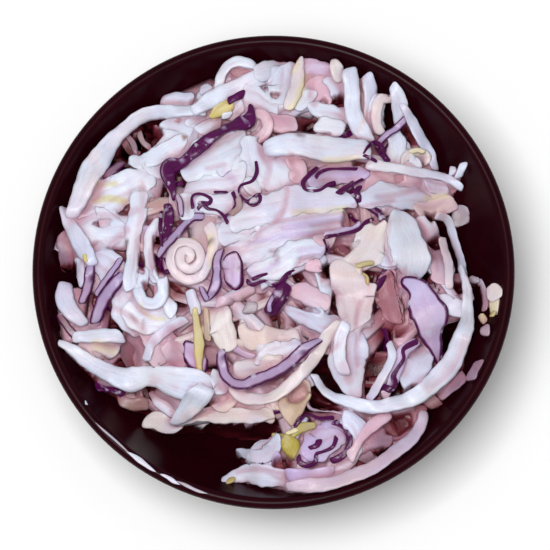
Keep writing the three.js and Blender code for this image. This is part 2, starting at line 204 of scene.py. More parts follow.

# Soft marks on the slaw: shade, width in mm, strength, how deep they fold it in mm, and their route.
# Rose and mauve marks along folds are painted shade in the crease.
MARKS = (
    ("yellow", 1.4, 0.6, 0, ((-43.6, 21.3), (-39.4, 21.8))),
    ("yellow", 2, 0.7, 0, ((-44.6, 17.4), (-41, 18), (-37.2, 17.2))),
    ("mauve", 1.2, 0.5, 0.3, ((-47.6, 14.4), (-45.6, 16))),
    ("rose", 2.4, 0.4, 0.2, ((-50, 12.4), (-45, 13.4), (-38, 13.6), (-34, 15))),
    ("rose", 2.4, 0.5, 0.2, ((-40, 6.4), (-37.6, 9), (-36.6, 10))),
    ("purple", 0.8, 0.9, 0.3, ((-45, 5.9), (-44, 6.8))),
    ("purple", 0.8, 0.9, 0.3, ((-41.3, 5.6), (-39.4, 5.1), (-37.2, 5), (-36.4, 7.2))),
    ("rose", 2, 0.4, 0.3, ((-33, 22), (-32.4, 16), (-33.4, 10), (-33.2, 5))),
    ("peach", 4, 0.4, 0, ((-45, 29), (-44, 25), (-44.6, 21))),
    ("yellow", 1.4, 0.5, 0, ((-21.4, 8.6), (-17.4, 6.6))),
    ("yellow", 1.6, 0.5, 0, ((-16.2, 8), (-15.4, 4), (-15.6, 1))),
    ("purple", 0.9, 0.8, 0.2, ((-16.9, 5.6), (-15.4, 7.4))),
    ("rose", 1.2, 0.6, 0.4, (
        (-12.6, 5.2), (-8, 5.2), (-5, 7.5), (-3, 10), (0.5, 12), (2, 14), (3, 17), (3.5, 20),
    )),
    ("rose", 2.2, 0.35, 0, ((-9, 4), (-4, 6.4), (-1, 9), (2, 10.6))),
    ("rose", 1.2, 0.5, 0.3, ((0.5, 12), (5, 12.6), (10, 13.4), (17, 14.4), (24, 16.2), (30, 17.6))),
    ("straw", 1.6, 0.6, 0.1, ((5, 14.2), (10, 14.6), (18, 15.4))),
    ("lilac", 2.2, 0.8, 0.2, ((3, 10.4), (10, 11.6), (17, 12.6))),
    ("mauve", 0.8, 0.5, 0.2, ((9.5, 10.8), (14, 12), (17, 12))),
    ("lilac", 1.6, 0.8, 0.2, ((-6, 6.6), (2, 8.4), (10, 9), (20, 10.6))),
    ("rose", 1.2, 0.4, 0.3, ((5, 7.4), (9, 8.2), (12.4, 8))),
    ("mauve", 1, 0.6, 0.5, ((6.4, 2.6), (10, 3.2), (12.6, 3.8), (13.9, 5), (13.2, 6.4))),
    ("lilac", 3, 0.5, 0, ((7, 4.4), (12, 4.8))),
    ("rose", 1.2, 0.6, 0.5, ((5.6, -0.4), (6.2, 1.4), (7.4, 2.6))),
    ("mauve", 0.9, 0.6, 0.3, ((-0.6, 4.6), (1, 4.6))),
    ("mauve", 0.8, 0.6, 0.3, ((-0.2, 3.2), (0.8, 3.6), (1, 2.8), (-0.4, 1.4))),
    ("mauve", 0.8, 0.6, 0, ((-11.8, -2.2), (-11.6, -2.6))),
    ("purple", 0.9, 0.9, 0.2, ((-8.6, 0.1), (-7.2, 1.1))),
    ("lilac", 4, 0.4, 0, ((-9, 6), (-5, 3), (-8, -2))),
    ("lilac", 1.4, 0.7, 0.3, ((-7, -1.8), (-3, -0.6), (1, 1.6))),
    ("rose", 2, 0.4, 0.2, ((-2, 22), (-1, 26), (-3, 31))),
    ("lilac", 2, 0.5, 0.1, ((-12, 24.6), (-9.6, 22), (-9.4, 19))),
    ("rose", 1.4, 0.4, 0.2, ((-16.4, 25.6), (-12.4, 26.6))),
    ("rose", 1.6, 0.5, 0.3, ((4.4, 29), (4.6, 26), (6.2, 24), (4, 21.6), (2.8, 20.2))),
    ("straw", 1.6, 0.7, 0, ((12.6, 27.7), (17, 27.6), (21, 28.4))),
    ("peach", 3, 0.35, 0, ((4, 28.6), (10, 27.4))),
    ("purple", 1, 0.8, 0, ((6, 34), (7.6, 33.6))),
    ("rose", 1.6, 0.45, 0.3, ((22.4, 26), (26, 24), (30, 21.6), (36, 21.6))),
    ("rose", 1.6, 0.5, 0.4, ((26, 18.4), (31, 19), (36, 20.4), (39, 20.6))),
    ("peach", 2.6, 0.5, 0, ((36, 15), (41, 15), (45, 17))),
    ("straw", 1.8, 0.8, 0, ((38.4, 18.2), (43.2, 18.7))),
    ("rose", 2.4, 0.5, 0.2, ((43, 12.6), (39.4, 9), (36.4, 12.4))),
    ("straw", 1.4, 0.7, 0, ((6, 53), (4.8, 50.4))),
    ("straw", 1.4, 0.8, 0, ((8.4, 49.6), (7, 46), (5.4, 42.4), (4, 41))),
    ("rose", 2, 0.5, 0.2, ((9.6, 49.6), (9.4, 45), (10.2, 42.2))),
    ("rose", 3, 0.6, 0, ((0, 38.2), (4, 37.4))),
    ("peach", 1.4, 0.6, 0.2, ((21.8, 50), (22.2, 44), (22.8, 38), (21, 35.2))),
    ("rose", 1.4, 0.5, 0.3, ((24.4, 40), (24.6, 36), (25.2, 34))),
    ("mauve", 0.9, 0.5, 0.2, ((-20.4, 43.4), (-21, 42.6))),
    ("peach", 2.4, 0.4, 0, ((24.4, 9.6), (22.4, 5.6), (20, 2))),
    ("rose", 1.6, 0.4, 0.2, ((28.8, 12), (28, 6), (29.6, 0.6), (31, -1.2))),
    ("rose", 1.4, 0.5, 0.4, ((21.6, -8), (20.4, -13.4), (21.4, -15.6), (20.4, -20), (20.8, -24))),
    ("rose", 1.2, 0.5, 0.4, ((16.8, -15.8), (16.2, -18.4), (14.6, -20))),
    ("peach", 1.6, 0.5, 0.2, ((23.8, -4), (24.4, -8), (23.2, -10))),
    ("peach", 2, 0.4, 0, ((15, -1), (19, -1.4), (22, 0))),
    ("rose", 2.6, 0.4, 0, ((17, -24), (18.6, -28))),
    ("rose", 3, 0.5, 0, ((47.8, -18), (43.6, -25.4), (38, -30))),
    ("rose", 1.6, 0.5, 0.2, ((-41, -9.4), (-36, -11.6), (-33.4, -14), (-32.6, -18))),
    ("mauve", 1, 0.6, 0.3, ((-35.4, -11.6), (-34.2, -13))),
    ("mauve", 1, 0.6, 0.3, ((-32.4, -13), (-32.2, -16))),
    ("rose", 3, 0.5, 0.2, ((-25.4, -15), (-24, -19), (-25, -24))),
    ("rose", 1.4, 0.5, 0.3, ((-30.4, -18.6), (-26, -15.6), (-22, -13.4))),
    ("straw", 3, 0.6, 0, ((-44, -19.4), (-40, -20.6))),
    ("straw", 1, 0.7, 0, ((-33, -9), (-30.8, -12), (-27, -12.6))),
    ("rose", 2, 0.4, 0.2, ((-30, -28.6), (-27, -28), (-24, -29.4))),
    ("rose", 1.4, 0.5, 0.3, ((-13.6, -29), (-11.6, -32), (-14.4, -34.6))),
    ("peach", 2, 0.5, 0.1, ((-23, -37.8), (-14, -36.4), (-6, -36.8))),
    ("tan", 2.4, 0.6, 0.2, ((-5, -35.4), (-1, -36.6), (1, -38.4))),
    ("peach", 2.4, 0.6, 0.1, ((-8, -16.4), (-2, -16.2), (4, -18))),
    ("rose", 1.6, 0.4, 0.3, ((-7.6, -20), (-3, -23.6), (2, -23), (8, -21.6))),
    ("mauve", 0.9, 0.6, 0, ((1.8, -16), (2.2, -16.2))),
    ("mauve", 1.4, 0.5, 0.2, ((7, -14), (9.6, -16.2), (10, -18))),
    ("rose", 1.6, 0.6, 0.3, ((5, -1), (9, -2.4), (12.8, -2.2))),
    ("straw", 1.6, 0.7, 0, ((6.6, -29.4), (8.6, -32))),
    ("mauve", 0.9, 0.7, 0, ((2.2, -34.2), (2.6, -34.6))),
    ("rose", 1.4, 0.5, 0.3, ((14, -49.8), (17.6, -47.4), (19.6, -44.4))),
    ("rose", 1.4, 0.5, 0.3, ((-9, -51), (-3, -50.6), (3, -51.6))),
    ("lilac", 2, 0.6, 0.1, ((6, -54), (14, -53.4), (22, -50))),
)

# Pale streaks on the rim, in the dressing's material: shade, first and last angle in degrees, mm inwards from
# its top, and width in mm.
RIM_STREAKS = (
    ("grey", -139, -127, 0.2, 0.6),
    ("pearl", -128.6, -119.6, 0.1, 1.4),
    ("pearl", -118.6, -113, -0.1, 1.1),
    ("grey", -114.4, -106, 0, 0.9),
    ("pearl", -144.8, -143.4, 1.6, 1),
)

# Shades of the shreds and of the marks. Mauve, grey, brown and wine on white cabbage and leaves,
# rose along folds, and the gaps' tones are mostly painted shade.
SHADES = {
    "snow": "D9DFEF",
    "pearl": "CED1E6",
    "cream": "DCD2D2",
    "blush": "DACCD4",
    "peach": "D6BDB8",
    "pink": "D3AFBF",
    "rose": "B98298",
    "dusk": "BCA8BC",
    "lilac": "BBA8D2",
    "mauve": "8A6A7E",
    "grey": "A59CA6",
    "tan": "B79C84",
    "brown": "824E4E",
    "amber": "94642F",
    "wine": "54161F",
    "purple": "3F0E38",
    "yellow": "CCBE68",
    "straw": "DCD0A0",
    "olive": "AA9A36",
}

# The shreds from the bottom of the heap up: kind, shade, width in mm, lift in mm, and the route
# in mm as the camera sees it, with the width where that changes. Mauve, grey, brown and wine on
# white cabbage and leaves are painted shade where they lie low or in gaps.
SHREDS = (
    # in the gaps and against the wall: their dark shades, such as wine, mauve, brown and grey, are painted
    # shade
    ("white", "wine", 1.8, 0.3, ((-38.4, 34), (-36, 30.5), (-33.5, 29.4))),
    ("white", "mauve", 1.2, 0.3, ((-36.8, 34.4), (-35.2, 32), (-34.4, 29))),
    ("white", "mauve", 1.4, 0.3, ((-33.8, 35.4), (-32.8, 32.8), (-30.8, 31))),
    ("red", "mauve", 2.4, 0.3, ((-43, 23.4), (-40.2, 25.2), (-37.6, 27.4))),
    ("leaf", "mauve", 4, 0, ((-52.8, 9.6, 3), (-52.2, 5, 4), (-51.2, 0, 3.4))),
    ("red", "wine", 2, 0, ((-53.3, -11), (-51, -15), (-48.5, -18))),
    ("leaf", "rose", 6, 0, ((27, -1), (28.6, -7), (29.5, -13))),
    ("leaf", "grey", 4.6, 0, ((46.4, 16.4, 3), (47.6, 13.5, 5), (46.6, 11, 3))),
    ("leaf", "mauve", 4, 0, ((45.5, -1), (46, -4), (46, -7))),
    ("white", "brown", 3, 0, ((-39, -33), (-35, -34.2), (-31, -34))),
    ("red", "purple", 2.6, 0, ((-44.5, -29.6), (-40.5, -30.2), (-37, -31.5))),
    ("leaf", "mauve", 6, 0, ((26, -37.5), (29, -40.5), (32.5, -38), (36, -34))),
    ("leaf", "mauve", 5, 0, ((20, -44.5), (25, -43.5), (29.5, -42))),
    ("white", "mauve", 3, 0, ((41, -32.5), (44.5, -29.5), (47.5, -26.5))),
    ("leaf", "pearl", 5, 0.3, ((-30.4, -30.8, 3), (-27.4, -33, 5), (-24, -35.6, 4))),
    # front, low in the bowl
    ("leaf", "tan", 7.5, 0, ((6, -27, 6), (5, -32, 7.5), (3, -38, 5))),
    ("leaf", "mauve", 3.2, 0, ((9, -35.6), (15, -36), (21, -36.4))),
    ("white", "dusk", 2.2, 0, ((8, -34.2), (14, -35), (20.5, -37.4))),
    ("leaf", "pearl", 5, 0, ((21.5, -43.5, 4), (18.5, -47.5, 5), (14, -50.5, 4))),
    ("leaf", "lilac", 9, 0.5, ((7, -47, 4), (10.5, -44.5, 8), (13.5, -42, 8.5), (16.6, -40.5, 4))),
    ("red", "purple", 1.6, 0.3, (
        (14.5, -38.4), (17.4, -39.6), (18.9, -42.4), (18.4, -45.2), (16.3, -47.2), (14, -48.2),
    )),
    ("red", "purple", 1.1, 0.3, (
        (15.6, -42), (14.6, -44.6), (12, -45.9), (10.6, -46.4), (10.3, -48.3), (8.2, -49.2),
        (6.5, -48.5), (6.1, -46.3),
    )),
    ("red", "purple", 1.3, 0.3, ((11.3, -42.6), (10.8, -44.1), (8.6, -45))),
    ("leaf", "olive", 2.4, 0, ((-0.5, -41.5, 1.2), (3.9, -42, 2.2), (7, -39.8, 2.6), (10.4, -38.9, 1.6))),
    ("leaf", "olive", 4.4, 0, ((2.4, -41.8, 3), (4.2, -44.6, 4.6), (4.6, -47.8, 1.4))),
    ("leaf", "straw", 1.2, 0, ((3, -41.2), (6, -40.2))),
    ("red", "purple", 1, 0, ((5, -39.6), (8.6, -36.4), (11, -37.4), (15, -37.4))),
    ("leaf", "pearl", 3.6, 0, (
        (-9.4, -46, 1.6), (-6, -46.8, 3), (-2.5, -46.9, 4), (-0.2, -45, 4.4), (0.4, -41.6, 2),
    )),
    ("white", "lilac", 2.6, 0, ((0, -46.5), (1.8, -50), (3.5, -52))),
    ("leaf", "pearl", 5, 0, ((-13, -53.2, 1.4), (-9, -52, 4), (-3, -51.6, 5.4), (4, -53, 5.4))),
    ("leaf", "olive", 1.2, 0, ((-11.8, -53.8), (-9.5, -53))),
    ("white", "lilac", 3.4, 0, ((3, -52, 4), (9, -52.2, 3.6), (15, -51, 3.2))),
    ("leaf", "pearl", 4.6, 0, ((17, -36.6), (20, -39), (22, -42.6))),
    ("white", "pink", 2.6, 0.3, ((28.7, -35.6, 3.6), (24.5, -39.4, 3), (21.2, -43.2, 2), (18.5, -47.5, 3))),
    ("white", "dusk", 3.6, 0.4, (
        (37.4, -35.6, 2.2), (37, -38.4, 3), (34.6, -42, 3.2), (31.2, -45.2), (26.6, -48.4), (21, -51.4),
        (15, -53.4), (8, -54.4, 3.4), (3, -54.6, 2),
    )),
    # front left edge
    ("leaf", "cream", 4.6, 1, ((-32.8, -39, 2.6), (-29.5, -38.4, 4.6), (-26, -39.6, 4), (-22, -38.6, 3))),
    ("leaf", "peach", 5, 0, ((-20, -35.5), (-12, -34.5), (-5, -35), (0, -36))),
    ("leaf", "cream", 4, 0.5, (
        (-25, -38.3, 2.6), (-18, -36.9, 3.6), (-10, -37, 3.8), (-4, -36.7, 3.6), (0, -36.2, 3),
    )),
    ("leaf", "peach", 6, 0, ((-12, -29), (-11, -32), (-15, -35))),
    # left
    ("leaf", "snow", 11, 0, ((-50, 9.6, 7), (-43, 9.6, 11), (-36, 10.4, 10))),
    ("leaf", "pearl", 9, 0, ((-44.4, 4.4, 5), (-41, 1.6, 7), (-37, -4, 8), (-35, -11, 9), (-32, -16, 7))),
    ("leaf", "snow", 11, 0, ((-49.5, 15.5, 7), (-43, 19, 10), (-36, 21.6, 9.6), (-30.4, 24.6, 4.6))),
    ("white", "pearl", 4.6, 0.2, (
        (-52, -3, 3.4), (-51.8, -7.5, 4.6), (-49.6, -11.6, 4.2), (-46.8, -14, 2.4),
    )),
    ("white", "pearl", 2.6, 0, ((-48.2, 3), (-48, -1), (-47.2, -4))),
    ("red", "lilac", 2.6, 0.2, ((-45.4, 1.6), (-46, -3), (-47.6, -8.5, 2))),
    ("red", "lilac", 3.4, 0.4, ((-37.2, -1, 3), (-40, -4.6), (-43, -9.2), (-44.6, -13.6, 3))),
    ("red", "lilac", 1.6, 0.3, ((-37.6, 3), (-41.2, -2), (-44, -6.6))),
    ("white", "pearl", 3.6, 0.4, (
        (-52.2, 16, 2.4), (-51.2, 12.4, 3.2), (-49.6, 9, 3.8), (-46.8, 4.8, 4), (-44.6, 1, 2.6),
    )),
    ("leaf", "yellow", 1, 0, ((-47, 4), (-46.4, 1.8))),
    ("leaf", "pink", 10, 0.3, ((-33, -13, 6), (-29, -17, 9), (-25.6, -22, 9))),
    ("leaf", "snow", 8, 0, ((-37, -9, 5), (-31, -12.5, 8), (-24, -12, 7))),
    ("leaf", "snow", 4, 0, ((-27.8, -5.6), (-26.2, -8.6), (-24.4, -11.4))),
    ("leaf", "pink", 6, 0, ((-27.2, -19), (-25.4, -22.6), (-23.6, -26))),
    ("white", "pearl", 2.4, 0.2, ((-21.5, -12.3), (-26, -15), (-30, -18.4), (-31.5, -23))),
    ("leaf", "cream", 5.6, 0, (
        (-48.4, -18.8, 2.6), (-45, -19.4, 4), (-41.5, -20.4, 5), (-38.4, -20.6, 3.6),
    )),
    ("white", "snow", 3.6, 0.4, ((-50, -17, 2.6), (-44, -16.8, 3.6), (-37.2, -16.9, 3.2))),
    ("rimmed", "lilac", 5.6, 0, ((-21, -18, 3), (-19.6, -21.5, 5.6), (-16.4, -24.6, 4.4))),
    ("leaf", "pearl", 3, 0, ((-20.6, -5), (-19.8, -8.4), (-19.2, -11.6))),
    ("leaf", "cream", 6.6, 0.4, ((-13.4, -10, 4.6), (-12.6, -14, 6.6), (-12, -18, 6), (-11.9, -20.8, 3))),
    ("leaf", "tan", 1.6, 0, ((-16.8, -9.6), (-16.6, -14), (-16.2, -18))),
    ("leaf", "cream", 2.6, 0.2, ((-8.2, -12.6), (-7, -14.2), (-6.6, -16))),
    ("leaf", "yellow", 2.2, 0.5, (
        (-19.6, -9.6, 1.4), (-18.9, -14, 2), (-18.6, -18.6, 2.6), (-18.4, -23, 2), (-18.1, -27.6, 1),
    )),
    ("white", "snow", 5, 0.9, (
        (-53.6, -18.4, 1.6), (-50, -20.4, 2.8), (-45.8, -23.4, 3.6), (-41.4, -26.2, 4.6),
        (-36, -27.8, 6), (-31, -27.4, 5), (-25, -28.2, 6.8), (-19.6, -29.4, 7.4), (-15, -31, 5.6),
    )),
    ("leaf", "snow", 4, 0, ((-15.6, -26.6), (-13.6, -28.6), (-12.4, -31.4))),
    ("white", "snow", 4.6, 0.6, (
        (-16.4, -29.4, 5), (-18.8, -32.4, 5.6), (-22, -36, 4.6), (-25.2, -39.2, 2),
    )),
    # fork, hole and coil
    ("leaf", "snow", 5, 0, ((-32, 27.4), (-29.4, 25.8), (-27, 24.6))),
    ("leaf", "snow", 4, 0, ((-26.5, 24, 3), (-24.6, 20), (-24, 16), (-24.8, 12, 3))),
    ("leaf", "snow", 4.4, 0.1, (
        (-33, 20, 5), (-34.2, 13, 4.6), (-35, 6, 3.6), (-35.1, 0, 3.8), (-35, -5, 5),
    )),
    ("leaf", "snow", 4, 0.1, (
        (-29.4, 13, 2.6), (-30.6, 8, 3), (-30.9, 3, 3), (-29.6, 0, 4), (-28, -2.4, 3.6),
    )),
    ("leaf", "snow", 3, 0.1, ((-32.6, 1), (-32.2, -2), (-33, -5))),
    ("white", "snow", 3, 0.2, (
        (-29.5, 0.5), (-27.6, -2.4), (-27.4, -5.6), (-29.5, -8.6), (-32.4, -8), (-33.8, -4.6),
    )),
    ("red", "purple", 2.2, 0, ((-29, 4.6), (-27.4, 1.6), (-25.8, -1))),
    ("leaf", "blush", 7, 0, ((-24.6, 3.4), (-21.6, 3), (-18.4, 3))),
    ("white", "blush", 2.3, 0.5, (
        (-16.6, 11.5, 3), (-14.8, 7.4, 3), (-15.8, 2.4), (-18, -1.6), (-21.6, -2.6), (-24.5, -0.8),
        (-25.5, 3), (-23.9, 6.4), (-21, 7), (-18.4, 5), (-18.4, 1.8), (-20.8, 0), (-22.9, 1.2),
        (-23.1, 3.8), (-21.6, 4.8), (-20.6, 3.2), (-21.8, 2, 1.6),
    )),
    ("red", "lilac", 2.3, 0.8, (
        (-28.6, 3.2, 1.8), (-25.8, 7), (-22.8, 10.6), (-19.8, 13), (-17.2, 13.2, 1.8),
    )),
    # back left
    ("leaf", "pearl", 4.4, 0.5, ((-28.6, 42, 3), (-25, 43.4, 4.4), (-20, 43.4, 4))),
    ("leaf", "pearl", 2.6, 0, ((-18.6, 45.6), (-15.6, 47))),
    ("leaf", "snow", 8, 0, ((-29, 36, 5), (-24.6, 35.4, 8), (-20, 35.6, 6))),
    ("leaf", "snow", 6, 0, ((-31, 33.6, 4), (-27, 32.8), (-23, 31.8))),
    ("leaf", "snow", 5, 0, (
        (-36.4, 28.6, 2.4), (-33.6, 27.6, 4), (-29.6, 28.4, 5), (-25, 31.4, 5), (-21.6, 33.4, 3.4),
    )),
    ("leaf", "brown", 4, 0, ((-11, 50.4), (-7.5, 51), (-4.2, 51.6))),
    ("leaf", "snow", 5, 0, ((-21.5, 38.5), (-18.4, 38), (-15.4, 36.6))),
    ("white", "snow", 2.6, 0.6, (
        (-13.6, 45.6), (-13.2, 49.6), (-11.9, 51.9), (-9.6, 53.2), (-6.8, 52.7), (-4.2, 51.6, 1.6),
    )),
    ("white", "snow", 5, 0.9, (
        (-50.6, 13, 3), (-48.8, 17.5, 4.4), (-47, 21.5, 5.6), (-45.3, 25.5, 6.2), (-42.5, 29.6, 5),
        (-39.6, 33.6, 4), (-37.3, 36, 3.2), (-34.4, 38.4, 3.1), (-31, 39.8, 3.3), (-26.9, 40.4, 3.4),
        (-22, 40.3, 3), (-17, 40.4, 3),
    )),
    ("white", "snow", 4.6, 0.6, (
        (-20.5, 40.2, 3), (-17, 42.2, 3.8), (-13, 44.8, 4.2), (-6.6, 47.6, 4.4), (0, 50.2, 4),
    )),
    # back
    ("leaf", "snow", 5, 0, ((-5, 50.4), (-1, 50.8), (4.6, 51))),
    ("leaf", "snow", 9, 0, ((-8, 45, 7), (-3.6, 42.6, 8), (1, 38.6, 7))),
    ("leaf", "snow", 9, 0, ((2.4, 52.6, 6), (2.6, 47.4, 8.6), (1.6, 42, 7))),
    ("leaf", "lilac", 6, 0, ((6, 51.6, 4), (10, 51, 6), (14.6, 50.6, 5))),
    ("leaf", "pink", 8, 0, ((8.6, 48.4, 5), (11, 46, 8), (11.4, 42, 7))),
    ("leaf", "pearl", 5, 0.2, ((13.6, 49.4), (15.6, 47.4), (16.6, 44.8))),
    ("leaf", "snow", 4, 0, ((-9, 35), (-6, 36.4), (-3.4, 37))),
    ("leaf", "pink", 5, 0, ((-1.6, 38), (2.4, 37.2), (6, 37))),
    ("leaf", "snow", 4, 0, ((4.6, 41.6), (7.6, 43), (9.6, 46))),
    ("leaf", "snow", 6, 0, ((8.6, 41, 3), (13, 40.2, 5), (16.6, 39, 6), (20, 37.6, 6))),
    ("leaf", "snow", 4.6, 0.2, ((10, 36.8), (14, 36.6), (18, 35.8))),
    ("leaf", "cream", 3.6, 0.4, (
        (7.1, 54.6, 0.8), (6.4, 51, 3.2), (5.6, 47, 3.6), (4.6, 43, 3.4), (3.6, 40.6, 2.4),
    )),
    ("white", "pink", 2.8, 0.3, ((-5, 40.4), (-2.2, 38.6), (-1.6, 35.6), (-4, 33), (-7, 32.2, 2))),
    ("leaf", "snow", 4, 0, ((-19, 35), (-16, 36.4), (-13, 38))),
    ("leaf", "snow", 4, 0, ((-12, 38.6), (-9.6, 40.4), (-7.6, 42.6))),
    ("leaf", "yellow", 3.6, 0, ((-15.8, 38.6, 1.4), (-13.4, 40.8, 3.4), (-10, 42.2, 2.6))),
    ("leaf", "snow", 1.8, 0.1, ((-13, 39.2), (-10.4, 39.6))),
    ("red", "purple", 2.2, 0, ((-11.6, 43), (-9, 44.2), (-7.2, 44.8))),
    ("white", "cream", 3.6, 0.2, ((15, 53.8, 1.6), (15.8, 51.4, 3.4), (17, 48, 3))),
    ("white", "pearl", 3.6, 0.2, ((23.2, 50, 3), (24.2, 45.6, 3.8), (24.6, 40.6, 3.8), (24.2, 35.4, 3.2))),
    ("white", "snow", 4.2, 0.8, (
        (19.2, 51.8, 3.6), (19.5, 46.4, 4.2), (19.9, 41, 4.2), (21.6, 36, 4.4), (23.4, 32.6, 4),
    )),
    # back right
    ("leaf", "snow", 5, 0, ((26, 45, 3), (25.8, 40.6, 5), (26.8, 36, 4))),
    ("leaf", "tan", 2, 0, ((33, 38.4), (34.8, 34.6), (36.6, 31))),
    ("white", "cream", 2.6, 0.2, (
        (31.4, 43.2), (29.6, 43.8), (27, 43.4), (25.7, 40.8), (25.7, 37.6), (27.2, 34.4),
    )),
    ("leaf", "snow", 5.4, 0.1, ((29, 35.2, 3), (30.6, 32.4, 5.4), (30.8, 28.4, 5.4), (29.6, 26, 3))),
    ("white", "snow", 3.2, 0.8, ((29.6, 47.3, 2.2), (30.9, 44.4, 3.6), (31.8, 41, 4), (32.3, 37.6, 3.4))),
    ("white", "pearl", 2.2, 0.8, (
        (32.2, 42.4, 1.6), (34.2, 38.6, 2.6), (36.6, 34.4, 2.8), (39.1, 30, 2.8), (40.6, 25.4, 1.8),
    )),
    ("red", "lilac", 1.9, 0.5, ((33, 38.6), (30.6, 35.9), (27.9, 33.8), (25.6, 31.4))),
    ("leaf", "cream", 2.4, 0, ((32.6, 26.2), (33.4, 28.6), (35.6, 30), (38.2, 29.4), (38.8, 27))),
    ("leaf", "straw", 1.4, 0.1, ((34, 30), (36, 30.6), (38, 30))),
    ("leaf", "snow", 3.4, 0, ((34, 27.8), (37, 27.4))),
    # middle
    ("leaf", "snow", 11, 0, ((-22.4, 20, 6), (-15, 21.8, 10), (-7, 23.6, 9))),
    ("leaf", "snow", 11, 0, ((-23.4, 25.6, 7), (-14.5, 29, 11), (-7, 31.6, 9))),
    ("leaf", "pearl", 4, 0, ((6, 27.4), (10.6, 28), (15, 27.8))),
    ("leaf", "snow", 4, 0, ((-7.4, 22.4), (-5.4, 20.8), (-3.2, 19.2))),
    ("leaf", "snow", 4, 0, ((-22.4, 19.4), (-21.4, 16), (-21.2, 12.4))),
    ("leaf", "pearl", 6, 0, ((-14, 9), (-9.6, 9.6), (-4, 10.4))),
    ("leaf", "snow", 9, 0, ((-5.6, 34, 6), (-3.2, 29, 10), (0.4, 23.6, 10), (2, 19.6, 7))),
    ("leaf", "snow", 6, 0, ((-19.4, 16.2, 4), (-13.6, 16.6, 6), (-7.4, 17.8, 5))),
    ("leaf", "pink", 6, 0, ((3.6, 28.6, 3), (6.4, 25, 5), (5.2, 21.8, 4))),
    ("leaf", "pink", 10, 0, ((22.4, 20.4, 6), (30, 22, 9), (38, 21.4, 9), (45.8, 19.8, 5))),
    ("leaf", "pearl", 4, 0, ((37.6, 22.8), (40.6, 21.6), (44, 20.8))),
    ("leaf", "pearl", 7, 0, ((21, 17.6, 4), (28, 19, 6.4), (35, 18, 6), (41.4, 16.8, 5))),
    ("leaf", "pink", 5, 0, ((35, 15.4), (39, 15.2), (45.4, 18))),
    ("leaf", "pearl", 9, 0, ((-11, 12, 5), (-4, 14.4, 8), (4, 16.6, 9), (13, 17.6, 7), (20, 18, 4))),
    ("leaf", "pearl", 8, 0, ((-12, 1, 6), (-5, 5, 8), (3, 8.6, 8), (11, 11, 7), (18, 13, 4))),
    ("leaf", "snow", 7, 0, ((-6, -1.4, 3), (-1, 0, 6), (4, 3, 7), (9, 5.4, 6), (12.6, 6, 4))),
    ("rimmed", "lilac", 6, 0, ((-10.6, 4.4, 4), (-10.2, 0, 6), (-11, -4.4, 4.6))),
    ("leaf", "lilac", 6, 0.1, ((8.4, 21.8, 3), (13, 23.6, 5.6), (18.6, 24.4, 5), (23.6, 25, 3))),
    ("white", "pink", 2.4, 0.1, ((-14.4, -8.6), (-9, -6.8), (-4.6, -4.6))),
    ("leaf", "pink", 4, 0, ((10.4, 6.8), (13, 7.4), (15.4, 8))),
    ("leaf", "lilac", 1.6, 0.2, ((12.4, 8.6), (17, 9.8), (21.6, 11.6))),
    ("white", "snow", 2.6, 0.3, (
        (23.2, 27.2, 3.4), (28, 26), (34, 25.2, 2.4), (39.8, 24.2, 2.2), (44.8, 22.8, 2.2),
        (47.6, 20.8, 1.4),
    )),
    ("white", "snow", 1.8, 0.2, ((44.6, 24), (45.2, 26.4))),
    ("white", "snow", 1.9, 0.3, ((46.2, 23.4), (46.8, 25.4), (47.7, 27.4))),
    ("white", "snow", 6.2, 0.8, (
        (-2.6, 30.4, 3.6), (3.6, 31.8, 5.8), (10, 31, 6.6), (17, 30.4, 6.4), (24.4, 30.5, 5.4),
    )),
    # skins of red cabbage
    ("red", "purple", 0.9, 0, (
        (-20, 15.2), (-20.2, 18.5), (-19.4, 19.1), (-16.8, 18.7), (-15.5, 17.6), (-16, 16.7),
        (-17.5, 16.7), (-18.9, 16.9),
    )),
    ("red", "purple", 0.9, 0, (
        (-18.9, 15.2), (-17.6, 16.5), (-16.4, 15.4), (-14.2, 15), (-12.5, 13.7), (-11.3, 11.5),
    )),
    ("red", "purple", 0.6, 0, ((-14.9, 19.6), (-11.3, 19.6))),
    ("red", "purple", 0.9, 0, ((-10.2, 19.8), (-9.4, 16.7), (-10.4, 14.6), (-12, 13.5))),
    ("leaf", "brown", 1.6, 0, ((-8.8, 18.4), (-8.6, 16), (-10.6, 13.8))),
    ("red", "purple", 0.8, 0, (
        (-4.4, 27.6), (-4.2, 24.6), (-5.3, 22.4), (-8.3, 21.1), (-8.7, 19.8), (-6.6, 17.2),
        (-3.6, 18.9), (-3.4, 17.2), (-4.9, 16.1), (-7, 17.2),
    )),
    ("leaf", "grey", 1.6, 0, ((-6, 17.2), (-4, 17.6))),
    ("red", "purple", 1, 0.1, (
        (11, 26.1), (8.6, 23.7), (7.3, 22), (7.8, 20.2), (11.2, 20), (13.7, 21.5), (15.5, 22),
    )),
    ("red", "purple", 0.8, 0.1, ((10.3, 22.8), (11.2, 24.3), (13.3, 25.4), (16.7, 25.6), (21, 25.6))),
    ("red", "purple", 1.6, 0.3, ((15.9, 19.1), (20.1, 22))),
    ("red", "purple", 0.9, 0.3, ((19.4, 21.4), (22.4, 23))),
    ("red", "purple", 1.2, 0.3, ((19.8, 20.4), (21, 18.7), (21, 17))),
    ("red", "purple", 0.9, 0.1, ((12.5, 8), (17.5, 9.1), (21.5, 10.3), (23, 12), (25, 13.1))),
    ("red", "purple", 0.7, 0.1, ((12.4, 7.8), (12.9, 6), (13.9, 5), (12.6, 3.7))),
    ("red", "purple", 0.7, 0.1, ((19, 14.6), (19.8, 13), (21.2, 12.2))),
    ("red", "purple", 0.9, 0.3, (
        (22.3, 29.1), (23.6, 31.1), (25.3, 32.4), (27, 31.5), (27.8, 29.3), (29.1, 27.6),
    )),
    ("red", "purple", 0.7, 0.3, ((22.3, 29.1), (23.6, 28.5), (25.8, 27.4))),
